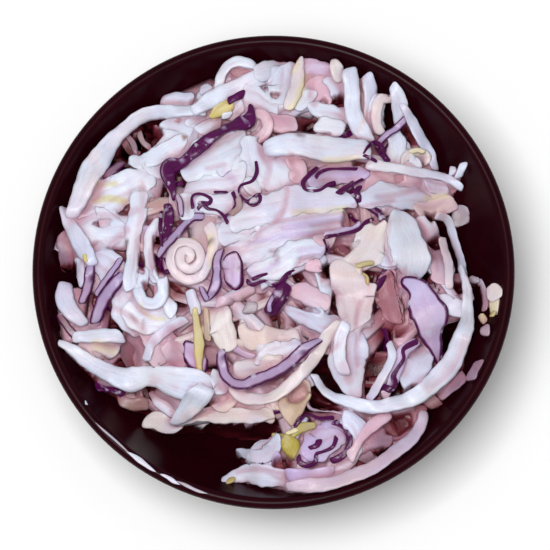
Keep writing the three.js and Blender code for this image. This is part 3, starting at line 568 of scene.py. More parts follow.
    ("red", "purple", 0.7, 0.3, ((25.5, 31.2), (26.6, 29.5), (28.4, 27.2))),
    ("red", "purple", 0.8, 0.1, ((-5.4, -2.5), (-3, -1.5), (-1.4, -1))),
    ("red", "purple", 0.8, 0.1, (
        (-6.8, -2.6), (-5.5, -3.8), (-2, -3), (-0.4, -4.3), (1.5, -3.2), (2.5, -2), (3.6, -1),
        (5.5, -0.4),
    )),
    ("red", "purple", 1, 0.1, ((-0.2, -4.2), (1.8, -3.4), (3.4, -1.6))),
    ("red", "lilac", 2.2, 0.6, (
        (-12.6, 5.4, 1.4), (-13.8, 2.6), (-14.2, -1), (-14.6, -4.6, 3), (-16.2, -7.8, 1.4),
    )),
    ("red", "lilac", 1.5, 0.3, ((-18, -4.2, 1), (-17.4, -6.2), (-16.4, -7.8))),
    # middle, lower
    ("leaf", "peach", 9, 0, ((-8.6, -16.6, 6), (-1, -17.6, 8), (6.6, -17.4, 8))),
    ("leaf", "pearl", 6, 0, ((-4, -21.5), (2, -21), (7.6, -19.6))),
    ("leaf", "cream", 6, 0, ((-10, -24.6, 4), (-4, -25, 6), (2, -23.6, 5))),
    ("leaf", "grey", 3.4, 0, ((-7.6, -9.6), (-4, -9.8))),
    ("leaf", "pink", 7.4, 0, ((4, -4.8, 3.4), (8.6, -6.4, 5.4), (14, -9, 4.4))),
    ("leaf", "pink", 3.6, 0, ((8, 1.4), (12, 0.6))),
    ("leaf", "pearl", 6, 0.2, ((2.6, -9.6, 2), (7.6, -11.4, 4.6), (12.6, -13.6, 6), (17.4, -12.8, 4))),
    ("red", "purple", 4.6, 0.4, ((3.6, -3.6, 2.6), (1.6, -7, 4.6), (-1.4, -11.2, 3))),
    ("red", "lilac", 1.4, 0.9, ((0, -6.8), (-1, -8.6), (-1.2, -10.6))),
    ("red", "lilac", 0.9, 0.9, ((3, -4.4), (2.4, -7), (0.6, -9.6))),
    ("white", "cream", 3, 0.6, (
        (-11, -29.5, 2), (-7, -32.4), (-2, -32.6), (2.6, -30), (6.6, -26.6), (9.8, -22.4), (12.6, -18),
        (16.4, -13, 2.4),
    )),
    ("red", "lilac", 2.8, 1, (
        (-13, -20.3, 2), (-12.9, -24), (-11.6, -27.2), (-8.5, -28.8), (-4, -27.8), (0.6, -25.6),
        (4.6, -22.8), (8.4, -19.4), (11.6, -17.4, 1.6),
    )),
    # right
    ("leaf", "pearl", 5, 0, ((26.2, 8.4), (27.8, 4.6), (29.2, 0.6))),
    ("leaf", "cream", 9, 0, ((27.6, 12.6, 4), (25.4, 8.6, 7), (21.8, 3.4, 9), (18, 0, 6))),
    ("leaf", "pink", 6.4, 0, ((39, 8.6, 3), (41, 3.6, 6.4), (42.4, -4, 5))),
    ("leaf", "pearl", 5, 0.2, ((36.6, 13.6), (39, 10.6), (40.4, 7))),
    ("white", "blush", 2.2, 0.4, ((42.2, 8.4), (43.4, 2), (43.8, -5))),
    ("leaf", "pearl", 4, 0.3, ((41.8, -6.2, 3), (43.6, -9, 4.2), (46, -9.6, 4.6), (49, -9, 4))),
    ("leaf", "snow", 9.6, 1.2, (
        (30.6, 15.2, 3), (31.9, 11.6, 7.6), (33.2, 6.6, 9.8), (34, 1.6, 9), (34.2, -2.4, 4.4),
    )),
    ("leaf", "pearl", 9, 0.8, (
        (19.6, -14, 6), (18.9, -18.9, 9.4), (18.4, -22.4, 9.2), (18.6, -25.9, 8), (19.6, -29.3, 6.2),
        (21.4, -32.6, 2),
    )),
    ("leaf", "blush", 10, 1, (
        (19, 1.5, 8), (19, -2.4, 11), (20.3, -6.7, 9.6), (20.3, -11, 8), (19.7, -15.4, 7),
    )),
    ("white", "snow", 3, 0.6, ((18.2, -13.4), (16.4, -17.4), (16.2, -22), (17.8, -26.4))),
    ("leaf", "olive", 1.5, 0.2, ((20.4, 0.7), (22.5, 1.4), (24.9, 1.8))),
    ("leaf", "olive", 1.1, 0.2, ((22, -1), (23.2, -2), (23.2, -3.9))),
    ("leaf", "pearl", 8, 0, ((38.4, -19.6, 4), (35, -24, 8), (31.6, -29, 7))),
    ("white", "lilac", 3, 0.3, ((35.8, -17.8, 2.4), (32.4, -20.6, 3), (30.6, -24.6), (28.6, -30.6, 2.4))),
    ("leaf", "pink", 2.4, 0.2, ((26.6, -31.6), (29, -31.2))),
    ("red", "purple", 1.2, 0.3, (
        (35.8, -17.9), (32, -20.4), (32.2, -22.4), (30.6, -25), (29.6, -27), (30, -28.6), (29.4, -30),
    )),
    ("red", "purple", 1.6, 0.3, ((25.4, -32.4), (25.4, -30.2), (27.2, -29.6), (29.3, -30.4))),
    ("white", "pearl", 2.2, 0.4, (
        (28.4, -18.2, 1.6), (29.2, -21.4), (27.6, -26), (24.6, -31), (23, -33, 2),
    )),
    ("rimmed", "lilac", 9, 1.2, (
        (31.6, -2.6, 2), (35.6, -5, 6), (37.2, -8.2, 8.6), (38.6, -11.8, 9), (38.9, -15, 7),
        (40, -19, 4.6), (41.2, -24.4, 1),
    )),
    # the white shreds here in grey and mauve are painted shade
    ("white", "dusk", 1.5, 0, ((51.2, -2.4), (52.2, -5), (52.7, -8), (52.7, -10.6))),
    ("white", "grey", 2.8, 0.2, ((49.2, -3.4), (50.8, -1.8))),
    ("leaf", "straw", 2, 0, ((51.4, -11.4), (53, -13.4))),
    ("leaf", "straw", 3, 0, ((55, -7), (54.6, -11.6, 2))),
    ("leaf", "olive", 1.4, 0, ((55, -10.4), (54, -12))),
    ("leaf", "cream", 4.2, 0.2, ((54, -3.8, 3), (55.2, -5.8, 4.2), (55, -8, 3))),
    ("white", "mauve", 2.4, 0, ((52.6, -14), (52.6, -16.8))),
    ("white", "mauve", 2.6, 0, ((51.2, -22.8, 2), (48.6, -28))),
    ("white", "pearl", 2, 0.8, (
        (40.6, 13.6, 1.6), (43.4, 12.8), (45.2, 9), (46.8, 3), (48, -3.4), (49, -8),
    )),
    ("white", "snow", 4.4, 1.4, (
        (46.6, 1.4, 1.2), (47.6, -3, 1.9), (48.2, -8, 2.7), (48.1, -12.5, 3.5), (46.9, -17.5, 4.6),
        (44.6, -22.8, 5.2), (41, -27.4, 5), (36.4, -31.2, 4.4), (31, -33.7, 3.8), (25.4, -34.6, 3.5),
        (19.6, -33.8, 3), (15, -32, 2.6), (12, -29.8, 2.2), (9.6, -26.4, 1.6),
    )),
    # the red shred over the back left
    ("red", "purple", 3.6, 0.8, (
        (-6, 42.2, 0.8), (-5.8, 40, 2), (-6.6, 37.7, 4), (-9, 36.8, 3.8), (-12.2, 35.7, 2.6),
        (-15, 34, 2.6), (-17.6, 31.5, 3.2), (-20.3, 29.2, 3.2), (-23, 27.1, 3), (-25.8, 25.9, 4.4),
        (-26.2, 24, 3.4), (-25.2, 20.6, 2), (-24.9, 17.4, 1),
    )),
    ("red", "purple", 1.2, 0.6, ((-24.4, 21.6), (-22.4, 22))),
    ("red", "lilac", 1.8, 0.3, ((-24, 19, 1.2), (-23, 16.4), (-22.8, 13.2, 1))),
    ("red", "purple", 2.8, 0.6, ((-26.4, 16.9, 1.6), (-25.8, 14), (-26.3, 10.5, 2.4), (-27.3, 7, 1.4))),
    ("red", "purple", 0.8, 0.6, ((-28, 15), (-28.1, 9.8), (-27.5, 5.4))),
)

# ---------------------------------------------------------------- the heap

# The heap is worked out on a square grid: its cell and half its side, in mm.
CELL = 0.4
REACH = 61
# Lower shreds keep this far, in mm, from gaps that are deeper than this.
CLEAR_OF_GAPS = 2.4
DEEP_GAP = 8
# The top shreds take up this much, in mm, over the lower ones, and those this much over the core.
TOP_LAYER = 1.9
LOWER_LAYER = 3.8

# How thick each kind of shred is: its share of the width, and the least and the most in mm.
THICKNESS = {
    "white": (0.55, 1.4, 2.6),
    "red": (0.6, 0.8, 2),
    "leaf": (0, 0.8, 0.8),
    "rimmed": (0, 0.9, 0.9),
}
# How far each kind stands out of the dressing, in mm.
BARED = {"white": 0.65, "red": 0.5, "leaf": 0.2, "rimmed": 0.35}
FLAT_KINDS = ("leaf", "rimmed")
# A top shred's middle line stays inside this radius, and counts as lying at least this high, in mm.
WIDEST_PLACE = 56.5
LOWEST_REST = 12
# Shreds up to this width, in mm, are thin edges that lie flat on what is under them.
THIN = 1.35
# A give so large that a sheet is smoothed and nothing holds it up.
LOOSE = 99
# Where a shred's level is worked out across it, as shares of its half-width.
COLUMNS = np.linspace(-1, 1, 9)
MIDDLE_COLUMN = 4
# How much likelier each kind is among the lower shreds, their widths in mm, and their shades.
FILLER_ODDS = {"white": 7, "red": 0.8, "leaf": 2.4}
FILLER_WIDTHS = {"white": (2.2, 4.2), "red": (1.6, 3), "leaf": (5, 8)}
FILLER_SHADES = {
    "white": ("snow", "snow", "pearl", "pearl", "pink", "cream", "lilac"),
    "red": ("lilac", "lilac", "purple"),
    "leaf": ("snow", "pearl", "pearl", "pink", "cream"),
}


def seen_from_above(x, y, level):
    """The plan place of a point that the camera sees at x, y, and that lies at that level."""
    return x, y - (level - BOWL_HEIGHT) / math.tan(CAMERA_ELEVATION)


def eased(share):
    """A share from 0 to 1 with a soft start and end."""
    share = np.clip(share, 0, 1)
    return share * share * (3 - 2 * share)


def blurred(field, sigma):
    """A field on the heap's grid, smoothed over sigma mm."""
    reach = int(3 * sigma / CELL)
    kernel = np.exp(-0.5 * (np.arange(-reach, reach + 1) * CELL / sigma) ** 2)
    kernel /= kernel.sum()
    padded = np.pad(field, reach, mode="edge")
    padded = np.apply_along_axis(np.convolve, 0, padded, kernel, "valid")
    return np.apply_along_axis(np.convolve, 1, padded, kernel, "valid")


def between(field, i, j):
    """A field's values at places between its rows and columns."""
    i = np.clip(i, 0, field.shape[0] - 1.001)
    j = np.clip(j, 0, field.shape[1] - 1.001)
    i0 = i.astype(int)
    j0 = j.astype(int)
    a = i - i0
    b = j - j0
    return (
        field[i0, j0] * (1 - a) * (1 - b)
        + field[i0 + 1, j0] * a * (1 - b)
        + field[i0, j0 + 1] * (1 - a) * b
        + field[i0 + 1, j0 + 1] * a * b
    )


def lowest(field, reach):
    """The lowest value of a field on the heap's grid within reach mm of each place."""
    count = round(reach / CELL)
    for axis in (0, 1):
        field = np.min([np.roll(field, shift, axis) for shift in range(-count, count + 1)], axis=0)
    return field


def outline_distance(x, y, outline_x, outline_y):
    """How far places lie from a closed outline, negative inside it."""
    nearest = np.full(x.shape, np.inf)
    inside = np.zeros(x.shape, bool)
    corners = list(zip(outline_x, outline_y))
    for (ax, ay), (bx, by) in zip(corners, corners[1:] + corners[:1]):
        share = ((x - ax) * (bx - ax) + (y - ay) * (by - ay)) / ((bx - ax) ** 2 + (by - ay) ** 2)
        share = np.clip(share, 0, 1)
        nearest = np.minimum(nearest, np.hypot(x - ax - share * (bx - ax), y - ay - share * (by - ay)))
        if ay != by:
            inside ^= ((ay > y) != (by > y)) & (x < ax + (y - ay) * (bx - ax) / (by - ay))
    return np.where(inside, -nearest, nearest)


def draped(support, give, rounds):
    """Levels that bridge the hollows of what carries them and sink into it by `give`."""
    level = support
    for _ in range(rounds):
        padded = np.pad(level, 1, mode="edge")
        smooth = (padded[:-2, 1:-1] + padded[2:, 1:-1] + padded[1:-1, :-2] + padded[1:-1, 2:]) / 4
        level = np.maximum(smooth, support - give)
    return level


class Tint:
    """Colour laid over a field, and the share of it at each place."""

    def __init__(self, shape):
        self.colour = np.zeros(shape + (3,))
        self.share = np.zeros(shape)

    def lay(self, window, shade, share):
        """Lays a shade over part of the field, by its share at each place."""
        colour = np.array(linear(SHADES[shade])[:3])
        self.colour[window] = self.colour[window] * (1 - share[..., None]) + colour * share[..., None]
        self.share[window] = self.share[window] * (1 - share) + share

    def over(self, heap, shade, x, y, strength):
        """The shade at places, with this colour over it."""
        share = heap.sample(self.share, x, y) * strength
        colour = np.stack([heap.sample(self.colour[..., k], x, y) for k in range(3)], -1)
        return shade * (1 - share[..., None]) + colour * np.asarray(strength)[..., None]


class Heap:
    """The level of the top of the slaw over the bowl, on a square grid."""

    def __init__(self, seed, lower):
        axis = np.arange(-REACH, REACH + CELL / 2, CELL)
        self.x, self.y = np.meshgrid(axis, axis, indexing="ij")
        self.wall = wall_level(np.hypot(self.x, self.y))
        self.dent = np.zeros_like(self.x)
        self.drop = np.zeros_like(self.x)
        self.fold = np.zeros_like(self.x)
        self.gap_tint = Tint(self.x.shape)
        self.mark_tint = Tint(self.x.shape)
        level = self.mound()
        self.cut_gaps(level)
        self.closed = -lowest(-self.dent, CLEAR_OF_GAPS) > DEEP_GAP
        # no slaw outside the mound's edge: a level far under the bowl
        self.target = np.where(self.edge_share < 1, level - 0.6 * self.drop, -50)
        self.bed = self.target - TOP_LAYER - lower
        self.top = np.maximum(self.bed - LOWER_LAYER, self.wall)
        self.shade = np.empty(self.top.shape + (3,))
        self.shade[:] = linear(SHADES["pearl"])[:3]
        self.bared = np.full_like(self.x, BARED["leaf"])
        self.random = random.Random(seed)

    def window(self, x, y, margin):
        """The part of the grid around those places."""
        return tuple(
            slice(
                max(0, int((np.min(places) - margin + REACH) / CELL)),
                max(1, int((np.max(places) + margin + REACH) / CELL) + 2),
            )
            for places in (x, y)
        )

    def cut_gaps(self, level):
        """Works out how deep the gaps are, how far the mound drops there, and the tone painted there, mostly
        painted shade.
        """
        for depth, tone, corners in GAPS:
            corners = np.array(corners, float)
            x, y = seen_from_above(corners[:, 0], corners[:, 1], self.sample(level, *corners.mean(0)))
            window = self.window(x, y, 2)
            away = outline_distance(self.x[window], self.y[window], x, y)
            # a gap's side is 0.8 mm wide, and what lies round it sinks from 1.2 mm away
            inside = eased((0.4 - away) / 0.8)
            self.dent[window] = np.maximum(self.dent[window], depth * inside)
            self.drop[window] = np.maximum(self.drop[window], depth * eased((1.2 - away) / 1.8))
            # painted shade: the gap's tone, dark in wine, brown and tan
            self.gap_tint.lay(window, tone, eased((0.45 - away) / 0.7))

    def mound(self):
        """The level that the heap's top should reach."""
        angle = np.arctan2(self.y, self.x)
        edge = np.full_like(angle, float(EDGE_LEVEL))
        for middle, half_width, drop in HOLLOWS:
            away = np.abs((angle - math.radians(middle) + 3 * np.pi) % (2 * np.pi) - np.pi)
            share = np.minimum(1, away / math.radians(half_width))
            edge -= drop * (1 + np.cos(np.pi * share)) / 2
        reach = wall_radius(edge)
        self.edge_share = np.hypot(self.x, self.y) / reach
        return edge + (CROWN_LEVEL - edge) * (1 - np.minimum(self.edge_share, 1) ** 3)

    def sample(self, field, x, y):
        """The field's values over those places."""
        return between(field, (np.asarray(x) + REACH) / CELL, (np.asarray(y) + REACH) / CELL)

    def rest(self, shred):
        """Lowers a shred until it rests on what lies under it."""
        line, width, thickness = shred["line"], shred["width"], shred["thickness"]
        # the levels of what lies under it, in columns across it
        tangent = np.gradient(line, axis=0)
        tangent /= np.maximum(np.linalg.norm(tangent, axis=1), 1e-6)[:, None]
        side = np.stack([-tangent[:, 1], tangent[:, 0]], 1)
        across = COLUMNS * 0.95 * width[:, None] / 2
        levels = self.sample(
            self.top,
            line[:, 0, None] + side[:, 0, None] * across,
            line[:, 1, None] + side[:, 1, None] * across,
        )
        # a leaf drapes, and a shred stays straight across and leans a little with what it lies on
        if shred["kind"] in FLAT_KINDS:
            sheet = draped(draped(levels, 0.3 * thickness, 60), LOOSE, 8)
        else:
            rest = evened(0.8 * levels.max(1) + 0.2 * levels.mean(1), 5)
            sheet = draped(rest[:, None], 0.35 * thickness, 60)
            sheet = evened(sheet[:, 0], 5 if is_thin(shred) else 13)[:, None]
            slope = evened((levels[:, 5:].mean(1) - levels[:, :4].mean(1)) / (0.6 * width), 11)
            sheet = sheet + across * np.clip(0.5 * slope, -0.7, 0.7)[:, None]
        # a lifted shred arches over, and a thin edge is pressed into what it lies on
        share = np.linspace(0, 1, len(line))
        raised = shred["lift"] * np.sin(np.pi * share) ** 0.7 + thickness / 2 + 0.12
        if is_thin(shred):
            raised = raised - 0.38
        shred["sheet"] = sheet + raised[:, None]
        shred["side"] = side
        return shred

    def lay(self, shred):
        """Raises the heap's top over a shred that rests."""
        line, side, width, thickness = shred["line"], shred["side"], shred["width"], shred["thickness"]
        # places closer together than the grid's cells, so that none is left out
        density = 1.6 if shred["hero"] else 2.5
        rows = np.linspace(0, len(line) - 1, int(len(line) * density))[:, None]
        columns = np.linspace(-1, 1, int(width.max() / 0.3) + 4)
        index = np.arange(len(line))
        cx, cy, sx, sy, half = (
            np.interp(rows, index, values)
            for values in (line[:, 0], line[:, 1], side[:, 0], side[:, 1], width / 2)
        )
        z = between(shred["sheet"], rows + 0 * columns, (columns + 1) * MIDDLE_COLUMN + 0 * rows)
        z = z + thickness / 2 * np.sqrt(1 - 0.8 * columns**4)
        i = np.rint((cx + sx * columns * half + REACH) / CELL).astype(int)
        j = np.rint((cy + sy * columns * half + REACH) / CELL).astype(int)
        # in order of height, so that the highest of a cell's places is kept
        order = np.argsort(z, axis=None)
        i, j, z = i.ravel()[order], j.ravel()[order], z.ravel()[order]
        i = np.clip(i, 0, self.top.shape[0] - 1)
        j = np.clip(j, 0, self.top.shape[1] - 1)
        higher = z > self.top[i, j]
        i, j, z = i[higher], j[higher], z[higher]
        self.top[i, j] = z
        self.shade[i, j] = linear(SHADES[flesh_of(shred["shade"])])[:3]
        self.bared[i, j] = BARED[shred["kind"]]
        return shred

    def draw_marks(self):
        """Draws the soft marks over the heap: their colours, and how deep they fold it."""
        for shade, width, strength, fold, route in MARKS:
            line = smooth_route(route, 0.3)
            x, y = seen_from_above(line[:, 0], line[:, 1], self.sample(self.top, line[:, 0], line[:, 1]))
            window = self.window(x, y, width + 1)
            # a mark is as strong as it gets along its middle, and fades towards its sides
            away = np.full(self.x[window].shape, np.inf)
            for px, py in zip(x, y):
                away = np.minimum(away, np.hypot(self.x[window] - px, self.y[window] - py))
            share = eased((0.5 * width + 0.3 - away) / (0.3 + 0.25 * width))
            # rose and mauve marks along folds are painted shade
            self.mark_tint.lay(window, shade, strength * share)
            valley = fold * np.exp(-((away / (0.35 * width + 0.2)) ** 2))
            self.fold[window] = np.maximum(self.fold[window], valley)


def evened(values, count):
    """Values along a shred, each averaged with its neighbours."""
    reach = min(count // 2, len(values) // 2)
    kernel = np.hanning(2 * reach + 3)[1:-1]
    return np.convolve(np.pad(values, reach, mode="edge"), kernel / kernel.sum(), "valid")


def smooth_route(points, step):
    """Evenly spaced places along a smooth curve through points, with any further columns."""
    points = np.asarray(points, float)
    if len(points) == 2:
        points = np.array([points[0], points.mean(0), points[1]])
    # a cubic through the points, with knots spaced so that it doesn't swing out in short spans
    spans = np.linalg.norm(np.diff(points[:, :2], axis=0), axis=1)
    knots = np.concatenate([[0], np.cumsum(spans**0.7)])
    slopes = np.gradient(points, knots, axis=0)
    out = []
    for k in range(len(points) - 1):
        gap = knots[k + 1] - knots[k]
        t = np.linspace(0, 1, 12, endpoint=k == len(points) - 2)[:, None]
        out.append(
            (2 * t**3 - 3 * t**2 + 1) * points[k]
            + (t**3 - 2 * t**2 + t) * gap * slopes[k]
            + (3 * t**2 - 2 * t**3) * points[k + 1]
            + (t**3 - t**2) * gap * slopes[k + 1]
        )
    curve = np.concatenate(out)
    length = np.concatenate([[0], np.cumsum(np.linalg.norm(np.diff(curve[:, :2], axis=0), axis=1))])
    count = max(5, int(length[-1] / step) + 1)
    places = np.linspace(0, length[-1], count)
    return np.stack([np.interp(places, length, column) for column in curve.T], 1)


def flesh_of(shade):
    """The shade under the skin: red cabbage that shows mostly its skin is lilac inside."""
    return "lilac" if shade == "purple" else shade


def is_thin(shred):
    """Whether a shred is a thin edge, which lies flat on what is under it."""
    return shred["width"].max() < THIN


def thickness_of(kind, width):
    """How thick a shred of that kind and width is, in mm."""
    share, least, most = THICKNESS[kind]
    return min(max(share * width, least), most)


def filler(heap):
    """
    A shred of the lower heap, from a low place, wandering until it is long enough.

    It is None when the heap is full, and False when the shred came out too short.
    """
    rng = heap.random
    # it starts where much is missing up to the bed, inside the heap's edge and clear of the gaps
    want = (heap.bed - heap.top) * (heap.edge_share < 0.93) * ~heap.closed
    want = np.where(want > 0.4, want, 0)
    if want.sum() < 200:
        return None
    cells = np.argwhere(want > 0)
    weights = want[cells[:, 0], cells[:, 1]] ** 2
    i, j = cells[rng.choices(range(len(cells)), weights=weights)[0]]
    x, y = heap.x[i, j], heap.y[i, j]
    heading = rng.uniform(0, 2 * math.pi)
    bend = rng.gauss(0, 0.035)
    half = rng.uniform(9, 22)
    # two arms from there, in steps of 1 mm, bending a little at random
    arms = []
    for way in (1, -1):
        px, py, angle, turn = x, y, heading + (0 if way == 1 else math.pi), bend * way
        arm = []
        walked = 0
        while walked < half:
            turn += rng.gauss(0, 0.012)
            turn = max(-0.16, min(0.16, turn))
            angle += turn
            nx = px + math.cos(angle)
            ny = py + math.sin(angle)
            # it turns back from the wall, and ends at a deep gap
            if heap.sample(heap.edge_share, nx, ny) > 0.965:
                toward = math.atan2(-ny, -nx)
                angle += 0.35 * math.sin(toward - angle) + 0.1
                nx = px + 0.8 * math.cos(angle)
                ny = py + 0.8 * math.sin(angle)
                if heap.sample(heap.edge_share, nx, ny) > 0.985:
                    break
            if heap.sample(heap.closed, nx, ny) > 0.5:
                break
            px, py = nx, ny
            arm.append((px, py))
            walked += 1
        arms.append(arm)
    route = arms[1][::-1] + [(x, y)] + arms[0]
    if len(route) < 9:
        return False
    kind = rng.choices(tuple(FILLER_ODDS), tuple(FILLER_ODDS.values()))[0]
    width = {name: rng.uniform(*limits) for name, limits in FILLER_WIDTHS.items()}[kind]
    return {
        "kind": kind,
        "shade": rng.choice(FILLER_SHADES[kind]),
        "line": np.array(route),
        "width": np.full(len(route), width),
        "thickness": thickness_of(kind, width),
        "lift": 0,
        "hero": False,
    }


@functools.cache
def tangle(seed, most):
    """Every shred of the heap, laid from the bottom up, and the heap that they make."""
    # once to see how far the shreds rise over the mound, and again with their bed that much lower
    heap, laid = pile(seed, most, 0)
    over = np.where(heap.edge_share < 1, heap.top - heap.target, 0)
    heap, laid = pile(seed, most, np.clip(blurred(over, 3), 0, 9))
    heap.draw_marks()
    heap.around = blurred(heap.top, 4)
    heap.near = blurred(heap.top, 1.5)
    covered = blurred((heap.top > heap.wall + 0.6).astype(float), 0.5)
    # the dressing leaves the shreds bare by as much as their kind stands out, and fills narrow clefts
    film = np.maximum(
        blurred(lowest(heap.top, 0.4), 0.5) - blurred(heap.bared, 0.4),
        blurred(heap.top, 2.2) - 2.8,
    )
    film = np.minimum(film, blurred(lowest(heap.top, 1.6), 0.6) + 1.8)
    heap.film = film - heap.dent - 0.5 * heap.fold - 5 * np.clip(1 - covered, 0, 1)
    return heap, laid


def pile(seed, most, lower):
    """The lower shreds up to the heap's bed, and the top shreds laid on them."""
    heap = Heap(seed, lower)
    laid = []
    for _ in range(most):
        shred = filler(heap)
        if shred is None:
            break
        if shred:
            laid.append(heap.lay(heap.rest(shred)))
    for kind, shade, width, lift, route in SHREDS:
        line = smooth_route([(p[0], p[1], p[2] if len(p) > 2 else width) for p in route], 0.5)
        level = evened(heap.sample(heap.top, line[:, 0], line[:, 1]), 31)
        shred = {
            "kind": kind,
            "shade": shade,
            "width": line[:, 2],
            "thickness": thickness_of(kind, width),
            "lift": lift,
            "hero": True,
        }
        # how far it shifts in the camera's view depends on how high it rests, so that is tried again
        for _ in range(3):
            x, y = seen_from_above(line[:, 0], line[:, 1], np.maximum(level, LOWEST_REST))
            pull = np.minimum(1, WIDEST_PLACE / np.hypot(x, y))
            shred["line"] = np.stack([x * pull, y * pull], 1)
            level = evened(heap.rest(shred)["sheet"][:, 0::4].mean(1) + 0.5, 25)
        laid.append(heap.lay(shred))
    return heap, laid


# ---------------------------------------------------------------- mesh helpers

# Vertices closer together than this, in metres, are one.
MERGED = 1e-7


def finished(name, bm, materials, slot, *nodes):
    """The mesh as an object at the origin, riding on the root body and standing for CAD nodes."""
    mesh = bpy.data.meshes.new(name)
    bm.to_mesh(mesh)
    bm.free()
    for material in materials:
        mesh.materials.append(material)
    for polygon in mesh.polygons:
        polygon.use_smooth = True
    piece = bpy.data.objects.new(name, mesh)
    bpy.context.scene.collection.objects.link(piece)
    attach(piece, "root")
    for node in nodes:
        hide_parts(node)
    return piece


def depth_at(heap, x, y, z):
    """How deep in the heap's gaps a place lies, from 0 to 1."""
    return np.clip((heap.sample(heap.around, x, y) - 1.8 - z) / 6, 0, 1)


def crease_at(heap, x, y, z):
    """How far a place lies under what is close by, from 0 to 1."""
    return np.clip((heap.sample(heap.near, x, y) + 0.2 - z) / 1.6, 0, 1)


def squared(wave):
    """A sine or cosine pushed towards -1 and 1, which squares a circle's corners."""
    return np.sign(wave) * np.abs(wave) ** 0.5


def section(flat, hero, width):
    """The outline of a shred's cut, as shares of its half-width and half-thickness."""
    if flat:
        # a leaf is bowed above and below, with more places above, which show
        over = np.linspace(1, -1, (int(width / 0.5) + 5) if hero else 5)
        under = np.linspace(-1, 1, 5 if hero else 3)[1:]
        t = np.concatenate([over, under])
        across = 0.7 * t + 0.3 * np.sin(t * np.pi / 2)
        above = np.sqrt(1 - np.abs(across) ** 3)
        above[len(over) :] *= -1
        return across, above
    angle = np.linspace(0, 2 * np.pi, 15 if hero else 7)
    return squared(np.cos(angle)), squared(np.sin(angle))


def grid_index(vert, rows, columns):
    """The row and column of a vertex of a new flat grid, which reaches from -1 to 1."""
    return round((vert.co.x + 1) / 2 * rows), round((vert.co.y + 1) / 2 * columns)


def rows_along(shred):
    """Where a shred's rows lie on its line: closer together where its ends are rounded."""
    last = len(shred["line"]) - 1
    if shred["hero"]:
        ends = np.array([0, 0.12, 0.5])
        return np.concatenate([ends, np.arange(1, last), last - ends[::-1]])
    inner = np.linspace(2, last - 2, max(3, (last + 1) // 5))
    return np.concatenate([[0, 0.5], inner, [last - 0.5, last]])


def uneven(shred, waves, across, run, end, width, half, rise):
    """A shred's sides and rise made as uneven as its kind, and the ribs of a leaf."""
    if shred["kind"] in FLAT_KINDS:
        # ribs along the leaf, about 3 mm apart, and frilled edges: both softer where it is lifted
        lifted = shred["lift"] > 0.6
        ridge = np.sin(2.2 * half + 1.3 * np.sin(0.33 * run + waves[1]) + waves[2])
        ridge = ridge * (0.6 + 0.4 * np.sin(0.21 * run + waves[3])) * (1 - across**4)
        rise = rise + (0.03 if lifted else 0.08) * ridge - 0.15 * np.abs(across) ** 3
        rise = rise + 0.02 * width[:, None] * across**2 * np.sin(run * 0.6 + waves[4] + 1.5 * across)
        frill = 0.13 * np.sin(0.6 * run + waves[6] + 1.7 * across)
        frill = frill + 0.05 * np.sin(1.9 * run + waves[7] + 2.6 * across)
        half = half * (1 + (0.5 if lifted else 1) * frill)
        return half, rise, ridge
    # a shred's sides waver, and its ends dip into what it lies on
    rise = rise + 0.04 * np.sin(run * 0.9 + waves[6] + 3 * across)
    rise = rise - 0.4 * shred["thickness"] * np.clip(1 - end / 2.5, 0, 1)[:, None] ** 2
    if not is_thin(shred):
        half = half + 0.15 * np.sin(run * 0.5 + waves[4]) + 0.05 * np.sin(run * 1.9 + waves[5] + across)
    return half, rise, np.zeros_like(rise)


def skin_share(shred, waves, across, above, run, inwards):
    """
    How much purple skin a shred has at each place, which lies that far inwards of its edge.

    It is the rim of a leaf, the whole of a thin edge, all but a painted sheen of lilac on the upper
    side of a purple shred, or the sides and a broken line along the middle of a shred that shows its flesh.
    """
    if shred["kind"] == "rimmed":
        return np.clip((0.9 - inwards) / 0.3, 0, 1)
    if shred["kind"] != "red":
        return np.zeros(inwards.shape)
    if is_thin(shred):
        return np.ones(inwards.shape)
    middle = 0.3 * np.sin(0.31 * run + waves[2]) + 0.12 * np.sin(0.83 * run + waves[4])
    if shred["shade"] == "purple":
        # painted sheen: lilac patches on the upper side of a purple shred, where its gloss catches the light
        painted_sheen = 2 * np.sin(0.9 * run + waves[5] + 2.4 * across) + 1.2 * np.sin(2.3 * run + waves[6])
        painted_sheen = np.clip(painted_sheen - 1.5, 0, 1)
        return 1 - 0.75 * painted_sheen * np.clip(1.6 - np.abs(across - 1.6 * middle) / 0.3, 0, 1) * (above > 0)
    patches = 0.6 + 0.7 * np.sin(0.5 * run + waves[5]) + 0.3 * np.sin(1.3 * run + waves[6])
    line = np.clip(patches, 0, 1) * np.clip(1.6 - np.abs(across - middle) / 0.12, 0, 1)
    return np.maximum(np.clip((np.abs(across) - 0.42) / 0.2, 0, 1), line)


def bend_grid(bm, layers, places, shade, shares, length, girth, offset):
    """
    Bends a flat grid into a shred, closed along its seam and at its ends.

    Its own map is in mm and starts at `offset`, so that no two shreds have the same fibres.
    """
    uv_layer, shade_layer, *share_layers = layers
    last, around = len(places) - 1, len(places[0]) - 1
    made = bmesh.ops.create_grid(bm, x_segments=last, y_segments=around, size=1, calc_uvs=True)["verts"]
    faces = set()
    for vert in made:
        i, j = grid_index(vert, last, around)
        vert.co = places[i, j] * MM
        vert[shade_layer] = (*shade[i, j], 1)
        for layer, share in zip(share_layers, shares):
            vert[layer] = share[i, j]
        faces.update(vert.link_faces)
    for face in faces:
        for loop in face.loops:
            uv = loop[uv_layer].uv
            uv.x = uv.x * length + offset
            uv.y = uv.y * girth + offset
    bmesh.ops.remove_doubles(bm, verts=made, dist=MERGED)


